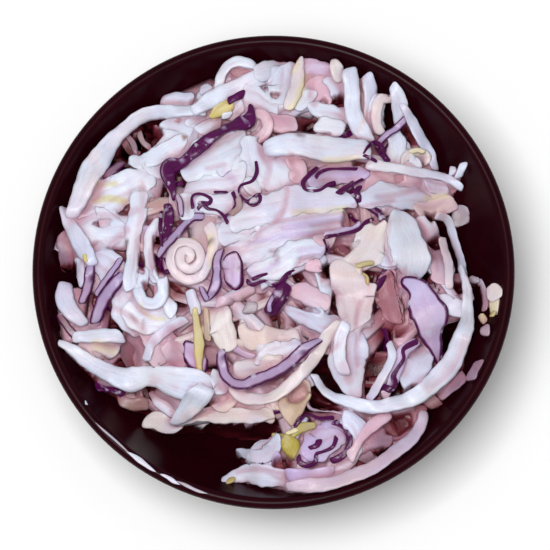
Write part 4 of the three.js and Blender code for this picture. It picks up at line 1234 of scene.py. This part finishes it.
def strip(bm, layers, heap, shred, index):
    """Adds a shred to the mesh, as rows along it of places round its cut."""
    rng = np.random.default_rng(index)
    waves = rng.uniform(0, 2 * np.pi, 8)
    flat = shred["kind"] in FLAT_KINDS
    across, above = section(flat, shred["hero"], shred["width"].max())
    rows = rows_along(shred)
    base = np.arange(len(shred["line"]))
    x, y, sx, sy, width = (
        np.interp(rows, base, values)
        for values in (*shred["line"].T, *shred["side"].T, shred["width"])
    )
    level = between(shred["sheet"], rows, np.full(len(rows), float(MIDDLE_COLUMN)))
    steps = np.sqrt(np.diff(x) ** 2 + np.diff(y) ** 2 + np.diff(level) ** 2)
    length = np.concatenate([[0], np.cumsum(steps)])
    run = length[:, None]
    end = np.minimum(length, length[-1] - length)

    # the width wavers, most on thin edges, and runs out in a blunt end
    waver = 0.45 if is_thin(shred) else 0.2 if shred["shade"] == "purple" else 0.08
    wobble = 0.6 * np.sin(length * 0.45 + waves[0]) + 0.15 * np.sin(length * 1.3 + waves[1])
    width = width * (1 + waver * wobble)
    square = 0.33 * width + 0.3 if flat else 0.3 * width + 0.1
    size = (1 - (1 - np.clip(end / square, 0, 1)) ** 2.5) ** 0.4
    half = width[:, None] / 2 * size[:, None] * across
    thick = shred["thickness"] / 2 * np.clip(size * 1.6, 0, 1) * (1 + 0.15 * np.sin(length * 0.8 + waves[3]))
    half, rise, ridge = uneven(shred, waves, across, run, end, width, half, thick[:, None] * above)

    # a slanting cut at each end
    slant = half * np.where(length < length[-1] / 2, *rng.uniform(-0.7, 0.7, 2))[:, None]
    slant = slant * np.clip(1 - end / (1.2 * width), 0, 1)[:, None]
    px = x[:, None] + sx[:, None] * half + sy[:, None] * slant
    py = y[:, None] + sy[:, None] * half - sx[:, None] * slant
    pz = between(shred["sheet"], rows[:, None] + 0 * across, (across + 1) * MIDDLE_COLUMN + 0 * run)
    pz = pz + rise
    # the soft marks fold and tint what lies at the top; along folds the tint is painted shade
    near_top = np.clip(2.2 - (heap.sample(heap.top, px, py) - pz), 0, 1)
    pz = pz - heap.sample(heap.fold, px, py) * near_top
    tone = np.array(linear(SHADES[flesh_of(shred["shade"])])[:3]) * (1 + rng.normal(0, 0.03))
    shade = np.broadcast_to(tone, pz.shape + (3,))
    # what isn't lifted sinks into the gaps, down to the bowl
    if shred["lift"] < 0.25:
        floor = heap.sample(heap.wall, px, py) + 0.5
        pz = np.minimum(pz, np.maximum(pz - heap.sample(heap.dent, px, py), floor))
        # the gap's tone laid over it is painted shade
        shade = heap.gap_tint.over(heap, shade, px, py, np.ones_like(px))
    shade = np.clip(heap.mark_tint.over(heap, shade, px, py, near_top), 0, 1)
    # painted shade: a shred's sides and the furrows between its ribs get the crease colour too
    crease = np.maximum(crease_at(heap, px, py, pz), 0.24 * np.abs(across) ** 4)
    crease = np.clip(crease + 0.3 * np.clip(-ridge, 0, 1), 0, 1)
    inwards = np.minimum(width[:, None] / 2 * size[:, None] * (1 - np.abs(across)), end[:, None])
    skin = skin_share(shred, waves, across, above, run, inwards)
    girth = 2 * (width.max() + shred["thickness"])
    # depth and crease carry the material's painted shade
    shares = depth_at(heap, px, py, pz), crease, skin
    bend_grid(bm, layers, np.stack([px, py, pz], -1), shade, shares, length[-1], girth, rng.uniform(0, 40))


def field_noise(x, y, size, seed):
    """Smooth noise over the plan, from about -1 to 1, with lumps of that size in mm."""
    rng = np.random.default_rng(seed)
    total = np.zeros_like(x)
    for _ in range(7):
        angle, phase = rng.uniform(0, 2 * np.pi, 2)
        rate = 2 * np.pi / size * rng.uniform(0.5, 1.3)
        bend = 0.8 * np.sin(rate * 0.6 * (y * np.cos(angle) - x * np.sin(angle)) + phase)
        total += np.sin(rate * (x * np.cos(angle) + y * np.sin(angle)) + phase + bend)
    # seven waves together seldom pass 3.2
    return total / 3.2


def shred_mesh(settings, kinds, heroes, name, cabbage):
    """Makes the shreds of those kinds one piece: top ones, lower ones or both."""
    heap, laid = tangle(settings.seed, settings.fillers)
    bm = bmesh.new()
    layers = (
        bm.loops.layers.uv.new("run"),
        bm.verts.layers.float_color.new("shade"),
        bm.verts.layers.float.new("depth"),
        bm.verts.layers.float.new("crease"),
        bm.verts.layers.float.new("skin"),
    )
    for index, shred in enumerate(laid):
        if shred["kind"] in kinds and shred["hero"] in heroes:
            strip(bm, layers, heap, shred, index)
    bmesh.ops.recalc_face_normals(bm, faces=bm.faces)
    return finished(name, bm, [cabbage], "slaw")


# ---------------------------------------------------------------- materials

# A Mix node has sockets of one name for each kind of value: these are the numbers of the colours'.
COLOUR_A = 6
COLOUR_B = 7
COLOUR_RESULT = 2


def material(name):
    """A material with no nodes yet, and its tree."""
    made = bpy.data.materials.new(name)
    made.use_nodes = True
    tree = made.node_tree
    tree.nodes.clear()
    return made, tree


def add(tree, kind, values=(), links=(), **settings):
    """Adds a node with its settings, the values of its sockets and the links into them."""
    node = tree.nodes.new(kind)
    for key, value in settings.items():
        setattr(node, key, value)
    for key, value in dict(values).items():
        node.inputs[key].default_value = value
    for key, source in dict(links).items():
        tree.links.new(source, node.inputs[key])
    return node


def finish(made, tree, relief, bump, values, links=()):
    """Ends a material: its relief as bump of that strength and height in metres, and its shader."""
    strength, height = bump
    bumped = add(tree, "ShaderNodeBump", {"Strength": strength, "Distance": height}, {"Height": relief})
    links = {**dict(links), "Normal": bumped.outputs["Normal"]}
    shader = add(tree, "ShaderNodeBsdfPrincipled", values, links)
    add(tree, "ShaderNodeOutputMaterial", (), {"Surface": shader.outputs["BSDF"]})
    return made


def overlaid(tree, colour, amount, start, end, most, code):
    """Lays one more colour on, up to `most` of it, as an amount goes from `start` to `end`."""
    share = add(
        tree,
        "ShaderNodeMapRange",
        {"From Min": start, "From Max": end, "To Max": most},
        {"Value": amount},
    )
    return add(
        tree,
        "ShaderNodeMix",
        {COLOUR_B: linear(code)},
        {"Factor": share.outputs["Result"], COLOUR_A: colour},
        data_type="RGBA",
    ).outputs[COLOUR_RESULT]


def glaze_material(settings):
    """Stoneware dipped in an iron glaze: nearly black, glossy, and red where it runs thin."""
    made, tree = material("glazed_stoneware")
    place = add(tree, "ShaderNodeTexCoord").outputs["Object"]
    # drifts about 8 mm across
    mottle = add(tree, "ShaderNodeTexNoise", {"Scale": 120, "Detail": 4}, {"Vector": place}).outputs["Fac"]
    colour = add(
        tree,
        "ShaderNodeMix",
        {COLOUR_A: (*settings.thick_glaze, 1), COLOUR_B: (*settings.thin_glaze, 1)},
        {"Factor": mottle},
        data_type="RGBA",
    ).outputs[COLOUR_RESULT]
    values = {"Roughness": 0.27, "IOR": 1.45, "Specular IOR Level": 0.07}
    return finish(made, tree, mottle, (0.05, 0.0004), values, {"Base Color": colour})


def tinted(tree, colour):
    """Drifts of pink, lavender and cream, as juice and dressing tint the cabbage."""
    place = add(tree, "ShaderNodeTexCoord").outputs["Object"]
    # each about 10 mm across, and from another stretch of the noise
    for shift, scale, most, code in (
        (0, 90, 0.25, "D9AFBE"),
        (3, 110, 0.3, "BFC3E0"),
        (7, 80, 0.2, "E6DAC4"),
    ):
        moved = add(tree, "ShaderNodeMapping", {"Location": (shift, 0, 0)}, {"Vector": place}).outputs[0]
        cloud = add(tree, "ShaderNodeTexNoise", {"Scale": scale, "Detail": 3}, {"Vector": moved})
        colour = overlaid(tree, colour, cloud.outputs["Fac"], 0.46, 0.66, most, code)
    return colour


def painted_shade(tree, colour):
    """Painted shade: mauve in the creases, plum in the gaps and wine red at their bottom, tinged by juice."""
    for layer, start, end, most, code in (
        ("crease", 0.26, 1.0, 0.64, "AE7080"),
        ("depth", 0.11, 0.5, 0.94, "7C2C38"),
        ("depth", 0.35, 0.9, 1.0, "460A14"),
    ):
        amount = add(tree, "ShaderNodeAttribute", attribute_name=layer).outputs["Fac"]
        colour = overlaid(tree, colour, amount, start, end, most, code)
    return colour


def cabbage_material(name, red, settings):
    """Raw cabbage cut by machine and wetted by its dressing: satin, fine fibres along the shred."""
    made, tree = material(name)
    place = add(tree, "ShaderNodeTexCoord").outputs["Object"]
    run = add(tree, "ShaderNodeUVMap", uv_map="run").outputs["UV"]
    # fibres about 0.4 mm apart and 5 mm long: the shred's own map is in mm
    along = add(tree, "ShaderNodeMapping", {"Scale": (0.2, 2.4, 1)}, {"Vector": run}).outputs[0]
    fibres = add(tree, "ShaderNodeTexNoise", {"Scale": 1.0, "Detail": 3}, {"Vector": along}).outputs["Fac"]
    # pores about 0.7 mm across
    pores = add(tree, "ShaderNodeTexNoise", {"Scale": 1400, "Detail": 2}, {"Vector": place}).outputs["Fac"]
    shade = add(tree, "ShaderNodeAttribute", attribute_name="shade").outputs["Color"]
    shade = overlaid(tree, tinted(tree, shade), fibres, 0.48, 0.75, 0.35, "C3A4B8")
    # painted shade in the creases and the gaps
    shade = painted_shade(tree, shade)
    if red:
        skin = add(tree, "ShaderNodeAttribute", attribute_name="skin").outputs["Fac"]
        purple = add(
            tree,
            "ShaderNodeMix",
            {COLOUR_A: (*settings.dark_skin, 1), COLOUR_B: (*settings.bright_skin, 1)},
            {"Factor": fibres},
            data_type="RGBA",
        ).outputs[COLOUR_RESULT]
        links = {"Factor": skin, COLOUR_A: shade, COLOUR_B: purple}
        shade = add(tree, "ShaderNodeMix", (), links, data_type="RGBA").outputs[COLOUR_RESULT]
        # spots of dressing on the skin, about 3 mm across
        spots = add(tree, "ShaderNodeTexNoise", {"Scale": 350, "Detail": 4}, {"Vector": place}).outputs["Fac"]
        shade = overlaid(tree, shade, spots, 0.62, 0.68, 0.6, "C9C4DA")
    relief = add(tree, "ShaderNodeMath", (), {0: fibres, 1: pores}, operation="ADD").outputs["Value"]
    values = {
        "Roughness": 0.24 if red else 0.34,
        "IOR": 1.4,
        "Specular IOR Level": 0.3 if red else 0.5,
        "Subsurface Weight": 0.1 if red else 0.3,
        "Subsurface Radius": (1.0, 0.6, 0.7),
        "Subsurface Scale": 0.001,
    }
    return finish(made, tree, relief, (0.45, 0.0002), values, {"Base Color": shade})


def dressing_material():
    """Thin dressing of mayonnaise, stirred: satin, a little translucent, tinted by the juice."""
    made, tree = material("mayonnaise_dressing")
    place = add(tree, "ShaderNodeTexCoord").outputs["Object"]
    # lumps about 2 mm across
    lumps = add(tree, "ShaderNodeTexNoise", {"Scale": 500, "Detail": 4}, {"Vector": place}).outputs["Fac"]
    shade = add(tree, "ShaderNodeAttribute", attribute_name="shade").outputs["Color"]
    # painted shade in the creases and the gaps
    shade = painted_shade(tree, tinted(tree, shade))
    values = {
        "Roughness": 0.36,
        "IOR": 1.4,
        "Subsurface Weight": 0.3,
        "Subsurface Radius": (1.0, 0.6, 0.7),
        "Subsurface Scale": 0.001,
    }
    return finish(made, tree, lumps, (0.3, 0.0003), values, {"Base Color": shade})


def paper_material(settings):
    """Matt white backdrop paper, with a grain too fine to see."""
    made, tree = material("matt_paper")
    place = add(tree, "ShaderNodeTexCoord").outputs["Object"]
    # grain about 1 mm across
    grain = add(tree, "ShaderNodeTexNoise", {"Scale": 900, "Detail": 2}, {"Vector": place}).outputs["Fac"]
    values = {"Base Color": (*settings.paper, 1), "Roughness": 0.9}
    return finish(made, tree, grain, (0.05, 0.0002), values)


# ---------------------------------------------------------------- operators


def colour_setting(name, description, code):
    """A colour that the user can change, from its sRGB hex."""
    return FloatVectorProperty(
        name=name,
        description=description,
        default=linear(code)[:3],
        size=3,
        min=0,
        max=1,
        subtype="COLOR",
    )


def length_setting(name, description, default, least=0.0):
    """A length in metres that the user can change."""
    return FloatProperty(
        name=name,
        description=description,
        default=default,
        min=least,
        precision=4,
        subtype="DISTANCE",
        unit="LENGTH",
    )


class BowlSettings(bpy.types.PropertyGroup):
    """Sizes and colours of the bowl"""

    segments: IntProperty(name="Segments", description="Facets round the bowl", default=192, min=32)
    foot_radius: length_setting("Foot radius", "Outer radius of the foot ring", 0.025, 0.01)
    foot_width: length_setting("Foot width", "Width of the foot ring", 0.003, 0.0015)
    thick_glaze: colour_setting("Thick glaze", "The glaze where it pooled", "180206")
    thin_glaze: colour_setting("Thin glaze", "The glaze where it ran thin", "2C030E")


class SlawSettings(bpy.types.PropertyGroup):
    """How the slaw falls, and its colours"""

    seed: IntProperty(name="Seed", description="Picks how the lower shreds fall", default=7)
    fillers: IntProperty(
        name="Lower shreds",
        description="Most shreds under the top ones",
        default=420,
        min=0,
    )
    dark_skin: colour_setting("Dark skin", "Skin of the red cabbage where it is thick", "1E031A")
    bright_skin: colour_setting("Bright skin", "Skin of the red cabbage where it is thin", "68145E")
    streak_rise: length_setting("Smear rise", "How far the smears of dressing stand off the rim", 0.00016)


class StageSettings(bpy.types.PropertyGroup):
    """The floor, the light and the camera"""

    distance: length_setting("Camera distance", "From the middle of the rim to the camera", 1.2, 0.3)
    floor_size: length_setting("Floor size", "Half the side of the floor", 1.5, 0.3)
    key_size: length_setting("Light size", "Side of the soft box over the bowl", 0.4, 0.01)
    key_power: FloatProperty(
        name="Light power",
        description="Power of the soft box",
        default=10.8,
        min=0,
        unit="POWER",
    )
    paper: colour_setting("Paper", "The backdrop paper", "FAFAFA")


# How far the foot ring's edges are rounded, in mm, and the steps of the wall and of the rim.
FOOT_ROUNDING = 0.6
PROFILE_STEPS = 60
RIM_STEPS = 14


class COLESLAW_OT_bowl(bpy.types.Operator):
    """Turns the glazed bowl from its profile"""

    bl_idname = "coleslaw.bowl"
    bl_label = "Bowl"

    def execute(self, context):
        settings = context.scene.coleslaw_bowl
        half = WALL / 2
        outer = settings.foot_radius / MM
        inner = outer - settings.foot_width / MM
        # the profile from the middle of the underside round the foot and the rim to the floor
        profile = [wall_point(t, -half) for t in np.linspace(0, RIM_TURN, PROFILE_STEPS)]
        under = [p for p in profile if p[0] < inner - FOOT_ROUNDING]
        outside = [p for p in profile if p[0] > outer + FOOT_ROUNDING]
        foot_top_in = np.interp(inner, [p[0] for p in profile], [p[1] for p in profile])
        foot_top_out = np.interp(outer, [p[0] for p in profile], [p[1] for p in profile])
        foot = [
            (inner, foot_top_in - FOOT_ROUNDING),
            (inner + 0.1, 0.5),
            (inner + 0.25, 0.15),
            (inner + FOOT_ROUNDING, 0),
            (outer - FOOT_ROUNDING, 0),
            (outer - 0.25, 0.15),
            (outer - 0.1, 0.5),
            (outer, foot_top_out - 0.7),
            (outer + 0.15, foot_top_out - 0.2),
        ]
        lean = math.atan2(math.sin(RIM_TURN) * ELLIPSE_DEPTH, math.cos(RIM_TURN) * ELLIPSE_WIDTH)
        rim = [
            (RIM_CENTRE[0] + half * math.cos(a), RIM_CENTRE[1] + half * math.sin(a))
            for a in np.linspace(lean - math.pi / 2, lean + math.pi / 2, RIM_STEPS)[1:-1]
        ]
        inside = [wall_point(t, half) for t in np.linspace(RIM_TURN, 0, PROFILE_STEPS)]
        points = under + foot + outside + rim + inside
        points[0] = (0, points[0][1])
        points[-1] = (0, points[-1][1])
        bm = bmesh.new()
        verts = [bm.verts.new((radius * MM, 0, level * MM)) for radius, level in points]
        edges = [bm.edges.new(pair) for pair in zip(verts, verts[1:])]
        bmesh.ops.spin(
            bm,
            geom=verts + edges,
            axis=(0, 0, 1),
            cent=(0, 0, 0),
            angle=2 * math.pi,
            steps=settings.segments,
            use_merge=True,
        )
        bmesh.ops.remove_doubles(bm, verts=bm.verts, dist=MERGED)
        bmesh.ops.recalc_face_normals(bm, faces=bm.faces)
        finished("glazed_bowl", bm, [glaze_material(settings)], "glaze", "bowl")
        return {"FINISHED"}


def rim_point(along, out):
    """A place on the bowl's profile, `along` mm inwards from the top of its rim and `out` off it."""
    # round the rim, and then down the wall, which falls 0.94 mm and comes in 0.35 mm for each mm
    turn = min(along / (WALL / 2), math.pi / 2)
    beyond = max(0, along - WALL / 2 * math.pi / 2)
    reach = WALL / 2 + out
    return (
        RIM_CENTRE[0] - reach * math.sin(turn) - 0.35 * beyond,
        RIM_CENTRE[1] + reach * math.cos(turn) - 0.94 * beyond,
    )


# Steps along a streak.
STREAK_STEPS = 40


class COLESLAW_OT_rim_streaks(bpy.types.Operator):
    """Lays pale streaks on the rim, in the dressing's material"""

    bl_idname = "coleslaw.smears"
    bl_label = "Smears"

    def execute(self, context):
        rise = context.scene.coleslaw_slaw.streak_rise / MM
        bm = bmesh.new()
        layers = [bm.verts.layers.float_color.new("shade")]
        layers += [bm.verts.layers.float.new(name) for name in ("depth", "crease")]
        across, above = section(True, True, 4)
        last, around = STREAK_STEPS, len(across) - 1
        for shade, start, end, along, width in RIM_STREAKS:
            made = bmesh.ops.create_grid(bm, x_segments=last, y_segments=around, size=1)["verts"]
            for vert in made:
                share = (vert.co.x + 1) / 2
                _, j = grid_index(vert, last, around)
                taper = max(0, math.sin(math.pi * share)) ** 0.8 * (1 + 0.12 * math.sin(11 * share + start))
                drift = 0.2 * math.sin(5 * share + end)
                size = width / 2 * taper
                inwards = along + drift + across[j] * size
                radius, level = rim_point(inwards, rise * above[j] * min(1, 2 * taper))
                angle = math.radians(start + (end - start) * share)
                vert.co = (radius * MM * math.cos(angle), radius * MM * math.sin(angle), level * MM)
                vert[layers[0]] = linear(SHADES[shade])
            bmesh.ops.remove_doubles(bm, verts=made, dist=MERGED)
        bmesh.ops.recalc_face_normals(bm, faces=bm.faces)
        finished("pale_rim_streaks", bm, [dressing_material()], "slaw")
        return {"FINISHED"}


# Half the side of the grid that the core starts from, in mm, and its cells along a side.
CORE_REACH = 57
CORE_CELLS = 300
# The core's edge goes down inside the bowl by rings, each this share of the radius of the last.
CORE_RINGS = (1.0, 0.85, 0.7, 0.7, 0.6, 0.0)
# How far the core's underside lies under the bowl's inside, in mm: within the wall's thickness.
CORE_SINK = 1


class COLESLAW_OT_core(bpy.types.Operator):
    """Fills the heap under and between the shreds, as the dressing does"""

    bl_idname = "coleslaw.core"
    bl_label = "Dressed core"

    def execute(self, context):
        settings = context.scene.coleslaw_slaw
        heap, _ = tangle(settings.seed, settings.fillers)
        count = CORE_CELLS
        axis = np.linspace(-CORE_REACH, CORE_REACH, count + 1)
        x, y = np.meshgrid(axis, axis, indexing="ij")
        radius = np.hypot(x, y)
        wall = wall_level(radius)
        # small lumps in the dressing, which fade out towards the wall
        inner = np.clip((1 - heap.sample(heap.edge_share, x, y)) / 0.12, 0, 1)
        patch = field_noise(x, y, 5, 3) * 0.08 + field_noise(x, y, 2, 8) * 0.04
        film = heap.sample(heap.film, x, y) + inner * patch
        # the core ends where its top meets the bowl's wall, which is found for each degree round it
        sector = ((np.arctan2(y, x) + np.pi) * 180 / np.pi).astype(int)
        reach = np.zeros(361)
        np.maximum.at(reach, sector, np.where(film > wall - 0.3, radius, 0))
        bare_places = radius > reach[sector] + 0.5
        film = np.maximum(film, wall - CORE_SINK)
        shade = np.stack([heap.sample(blurred(heap.shade[..., k], 0.9), x, y) for k in range(3)], -1)
        # painted shade: the gaps' dark tones laid over the dressing's colour
        shade = heap.gap_tint.over(heap, shade, x, y, np.ones_like(x))
        # rose and mauve marks along folds are painted shade
        shade = heap.mark_tint.over(heap, shade, x, y, np.ones_like(x))
        # depth and crease carry the material's painted shade
        depth = depth_at(heap, x, y, film)
        crease = crease_at(heap, x, y, film)
        bm = bmesh.new()
        shade_layer = bm.verts.layers.float_color.new("shade")
        depth_layer = bm.verts.layers.float.new("depth")
        crease_layer = bm.verts.layers.float.new("crease")
        bmesh.ops.create_grid(bm, x_segments=count, y_segments=count, size=1)
        bare = []
        for vert in bm.verts:
            i, j = grid_index(vert, count, count)
            vert.co = (x[i, j] * MM, y[i, j] * MM, film[i, j] * MM)
            vert[shade_layer] = (*shade[i, j], 1)
            vert[depth_layer] = depth[i, j]
            vert[crease_layer] = crease[i, j]
            if bare_places[i, j]:
                bare.append(vert)
        bmesh.ops.delete(bm, geom=bare, context="VERTS")
        lone = [v for v in bm.verts if not v.link_faces]
        bmesh.ops.delete(bm, geom=lone, context="VERTS")
        # under its top it follows the bowl
        edges = [e for e in bm.edges if e.is_boundary]
        for shrink in CORE_RINGS:
            made = bmesh.ops.extrude_edge_only(bm, edges=edges)["geom"]
            edges = [g for g in made if isinstance(g, bmesh.types.BMEdge)]
            for vert in {v for e in edges for v in e.verts}:
                vert.co.x *= shrink
                vert.co.y *= shrink
                vert.co.z = (float(wall_level(math.hypot(vert.co.x, vert.co.y) / MM)) - CORE_SINK) * MM
        bmesh.ops.remove_doubles(bm, verts=bm.verts, dist=MERGED)
        bmesh.ops.recalc_face_normals(bm, faces=bm.faces)
        finished("dressed_core", bm, [dressing_material()], "slaw", "coleslaw")
        return {"FINISHED"}


class COLESLAW_OT_white(bpy.types.Operator):
    """Lays the shreds of white cabbage"""

    bl_idname = "coleslaw.white"
    bl_label = "White cabbage"

    def execute(self, context):
        settings = context.scene.coleslaw_slaw
        cabbage = cabbage_material("raw_white_cabbage", False, settings)
        shred_mesh(settings, ("white",), (True,), "white_cabbage_shreds", cabbage)
        shred_mesh(settings, ("white",), (False,), "lower_white_shreds", cabbage)
        shred_mesh(settings, ("leaf",), (True, False), "cabbage_leaves", cabbage)
        return {"FINISHED"}


class COLESLAW_OT_red(bpy.types.Operator):
    """Lays the shreds of red cabbage"""

    bl_idname = "coleslaw.red"
    bl_label = "Red cabbage"

    def execute(self, context):
        settings = context.scene.coleslaw_slaw
        cabbage = cabbage_material("raw_red_cabbage", True, settings)
        shred_mesh(settings, ("red", "rimmed"), (True, False), "red_cabbage_shreds", cabbage)
        return {"FINISHED"}


# The strength of the light from all round, and where the soft box hangs, in metres.
STUDIO_LIGHT = 0.43
KEY_PLACE = (-0.14, -0.12, 1.2)
# The camera's focal length as a share of its distance, the rim's radius in the picture, and how
# far the camera is moved right and down, in pixels.
LENS_SHARE = 0.2635
RIM_PIXELS = 240.2
PIXELS_RIGHT = 1.4
PIXELS_DOWN = 5.9


class COLESLAW_OT_stage(bpy.types.Operator):
    """Sets the floor, the lights and the camera"""

    bl_idname = "coleslaw.stage"
    bl_label = "Stage"

    def execute(self, context):
        settings = context.scene.coleslaw_stage
        scene = context.scene
        bm = bmesh.new()
        bmesh.ops.create_grid(bm, x_segments=8, y_segments=8, size=settings.floor_size)
        mesh = bpy.data.meshes.new("floor")
        bm.to_mesh(mesh)
        bm.free()
        mesh.materials.append(paper_material(settings))
        floor = bpy.data.objects.new("floor", mesh)
        scene.collection.objects.link(floor)

        world = bpy.data.worlds.new("studio")
        world.use_nodes = True
        background = world.node_tree.nodes["Background"]
        background.inputs["Color"].default_value = linear("FFFFFF")
        background.inputs["Strength"].default_value = STUDIO_LIGHT
        scene.world = world

        target = Vector((0, 0, BOWL_HEIGHT * MM))
        light = bpy.data.lights.new("key", "AREA")
        light.size = settings.key_size
        light.energy = settings.key_power
        lamp = bpy.data.objects.new("key", light)
        lamp.location = KEY_PLACE
        lamp.rotation_euler = (target - lamp.location).to_track_quat("-Z", "Y").to_euler()
        scene.collection.objects.link(lamp)

        view = Vector((0, math.cos(CAMERA_ELEVATION), -math.sin(CAMERA_ELEVATION)))
        up = Vector((0, math.sin(CAMERA_ELEVATION), math.cos(CAMERA_ELEVATION)))
        camera = bpy.data.cameras.new("camera")
        camera.sensor_width = 36
        camera.lens = LENS_SHARE * settings.distance * 1000
        camera.clip_start = 0.01
        eye = bpy.data.objects.new("camera", camera)
        pixel = RIM_RADIUS / RIM_PIXELS * MM
        place = target - view * settings.distance + Vector((1, 0, 0)) * PIXELS_RIGHT * pixel
        eye.location = place - up * PIXELS_DOWN * pixel
        eye.rotation_euler = view.to_track_quat("-Z", "Y").to_euler()
        scene.collection.objects.link(eye)
        scene.camera = eye
        scene.view_settings.view_transform = "Standard"
        return {"FINISHED"}


class COLESLAW_PT_panel(bpy.types.Panel):
    """Lists the steps that make the slaw"""

    bl_idname = "COLESLAW_PT_panel"
    bl_label = "Coleslaw"
    bl_space_type = "VIEW_3D"
    bl_region_type = "UI"
    bl_category = "Coleslaw"

    def draw(self, context):
        for operator in OPERATORS:
            self.layout.operator(operator.bl_idname)


SETTINGS = {
    "coleslaw_bowl": BowlSettings,
    "coleslaw_slaw": SlawSettings,
    "coleslaw_stage": StageSettings,
}
OPERATORS = (
    COLESLAW_OT_stage,
    COLESLAW_OT_bowl,
    COLESLAW_OT_rim_streaks,
    COLESLAW_OT_core,
    COLESLAW_OT_white,
    COLESLAW_OT_red,
)


def register():
    """Makes the settings, the operators and the panel known to Blender."""
    for cls in (*SETTINGS.values(), *OPERATORS, COLESLAW_PT_panel):
        bpy.utils.register_class(cls)
    for name, group in SETTINGS.items():
        setattr(bpy.types.Scene, name, PointerProperty(type=group))


def unregister():
    """Takes them away again."""
    for name in SETTINGS:
        delattr(bpy.types.Scene, name)
    for cls in reversed((*SETTINGS.values(), *OPERATORS, COLESLAW_PT_panel)):
        bpy.utils.unregister_class(cls)


def main():
    """Makes the stage and every piece."""
    register()
    bpy.ops.coleslaw.stage()
    bpy.ops.coleslaw.bowl()
    bpy.ops.coleslaw.smears()
    bpy.ops.coleslaw.core()
    bpy.ops.coleslaw.white()
    bpy.ops.coleslaw.red()


if __name__ == "__main__":
    main()
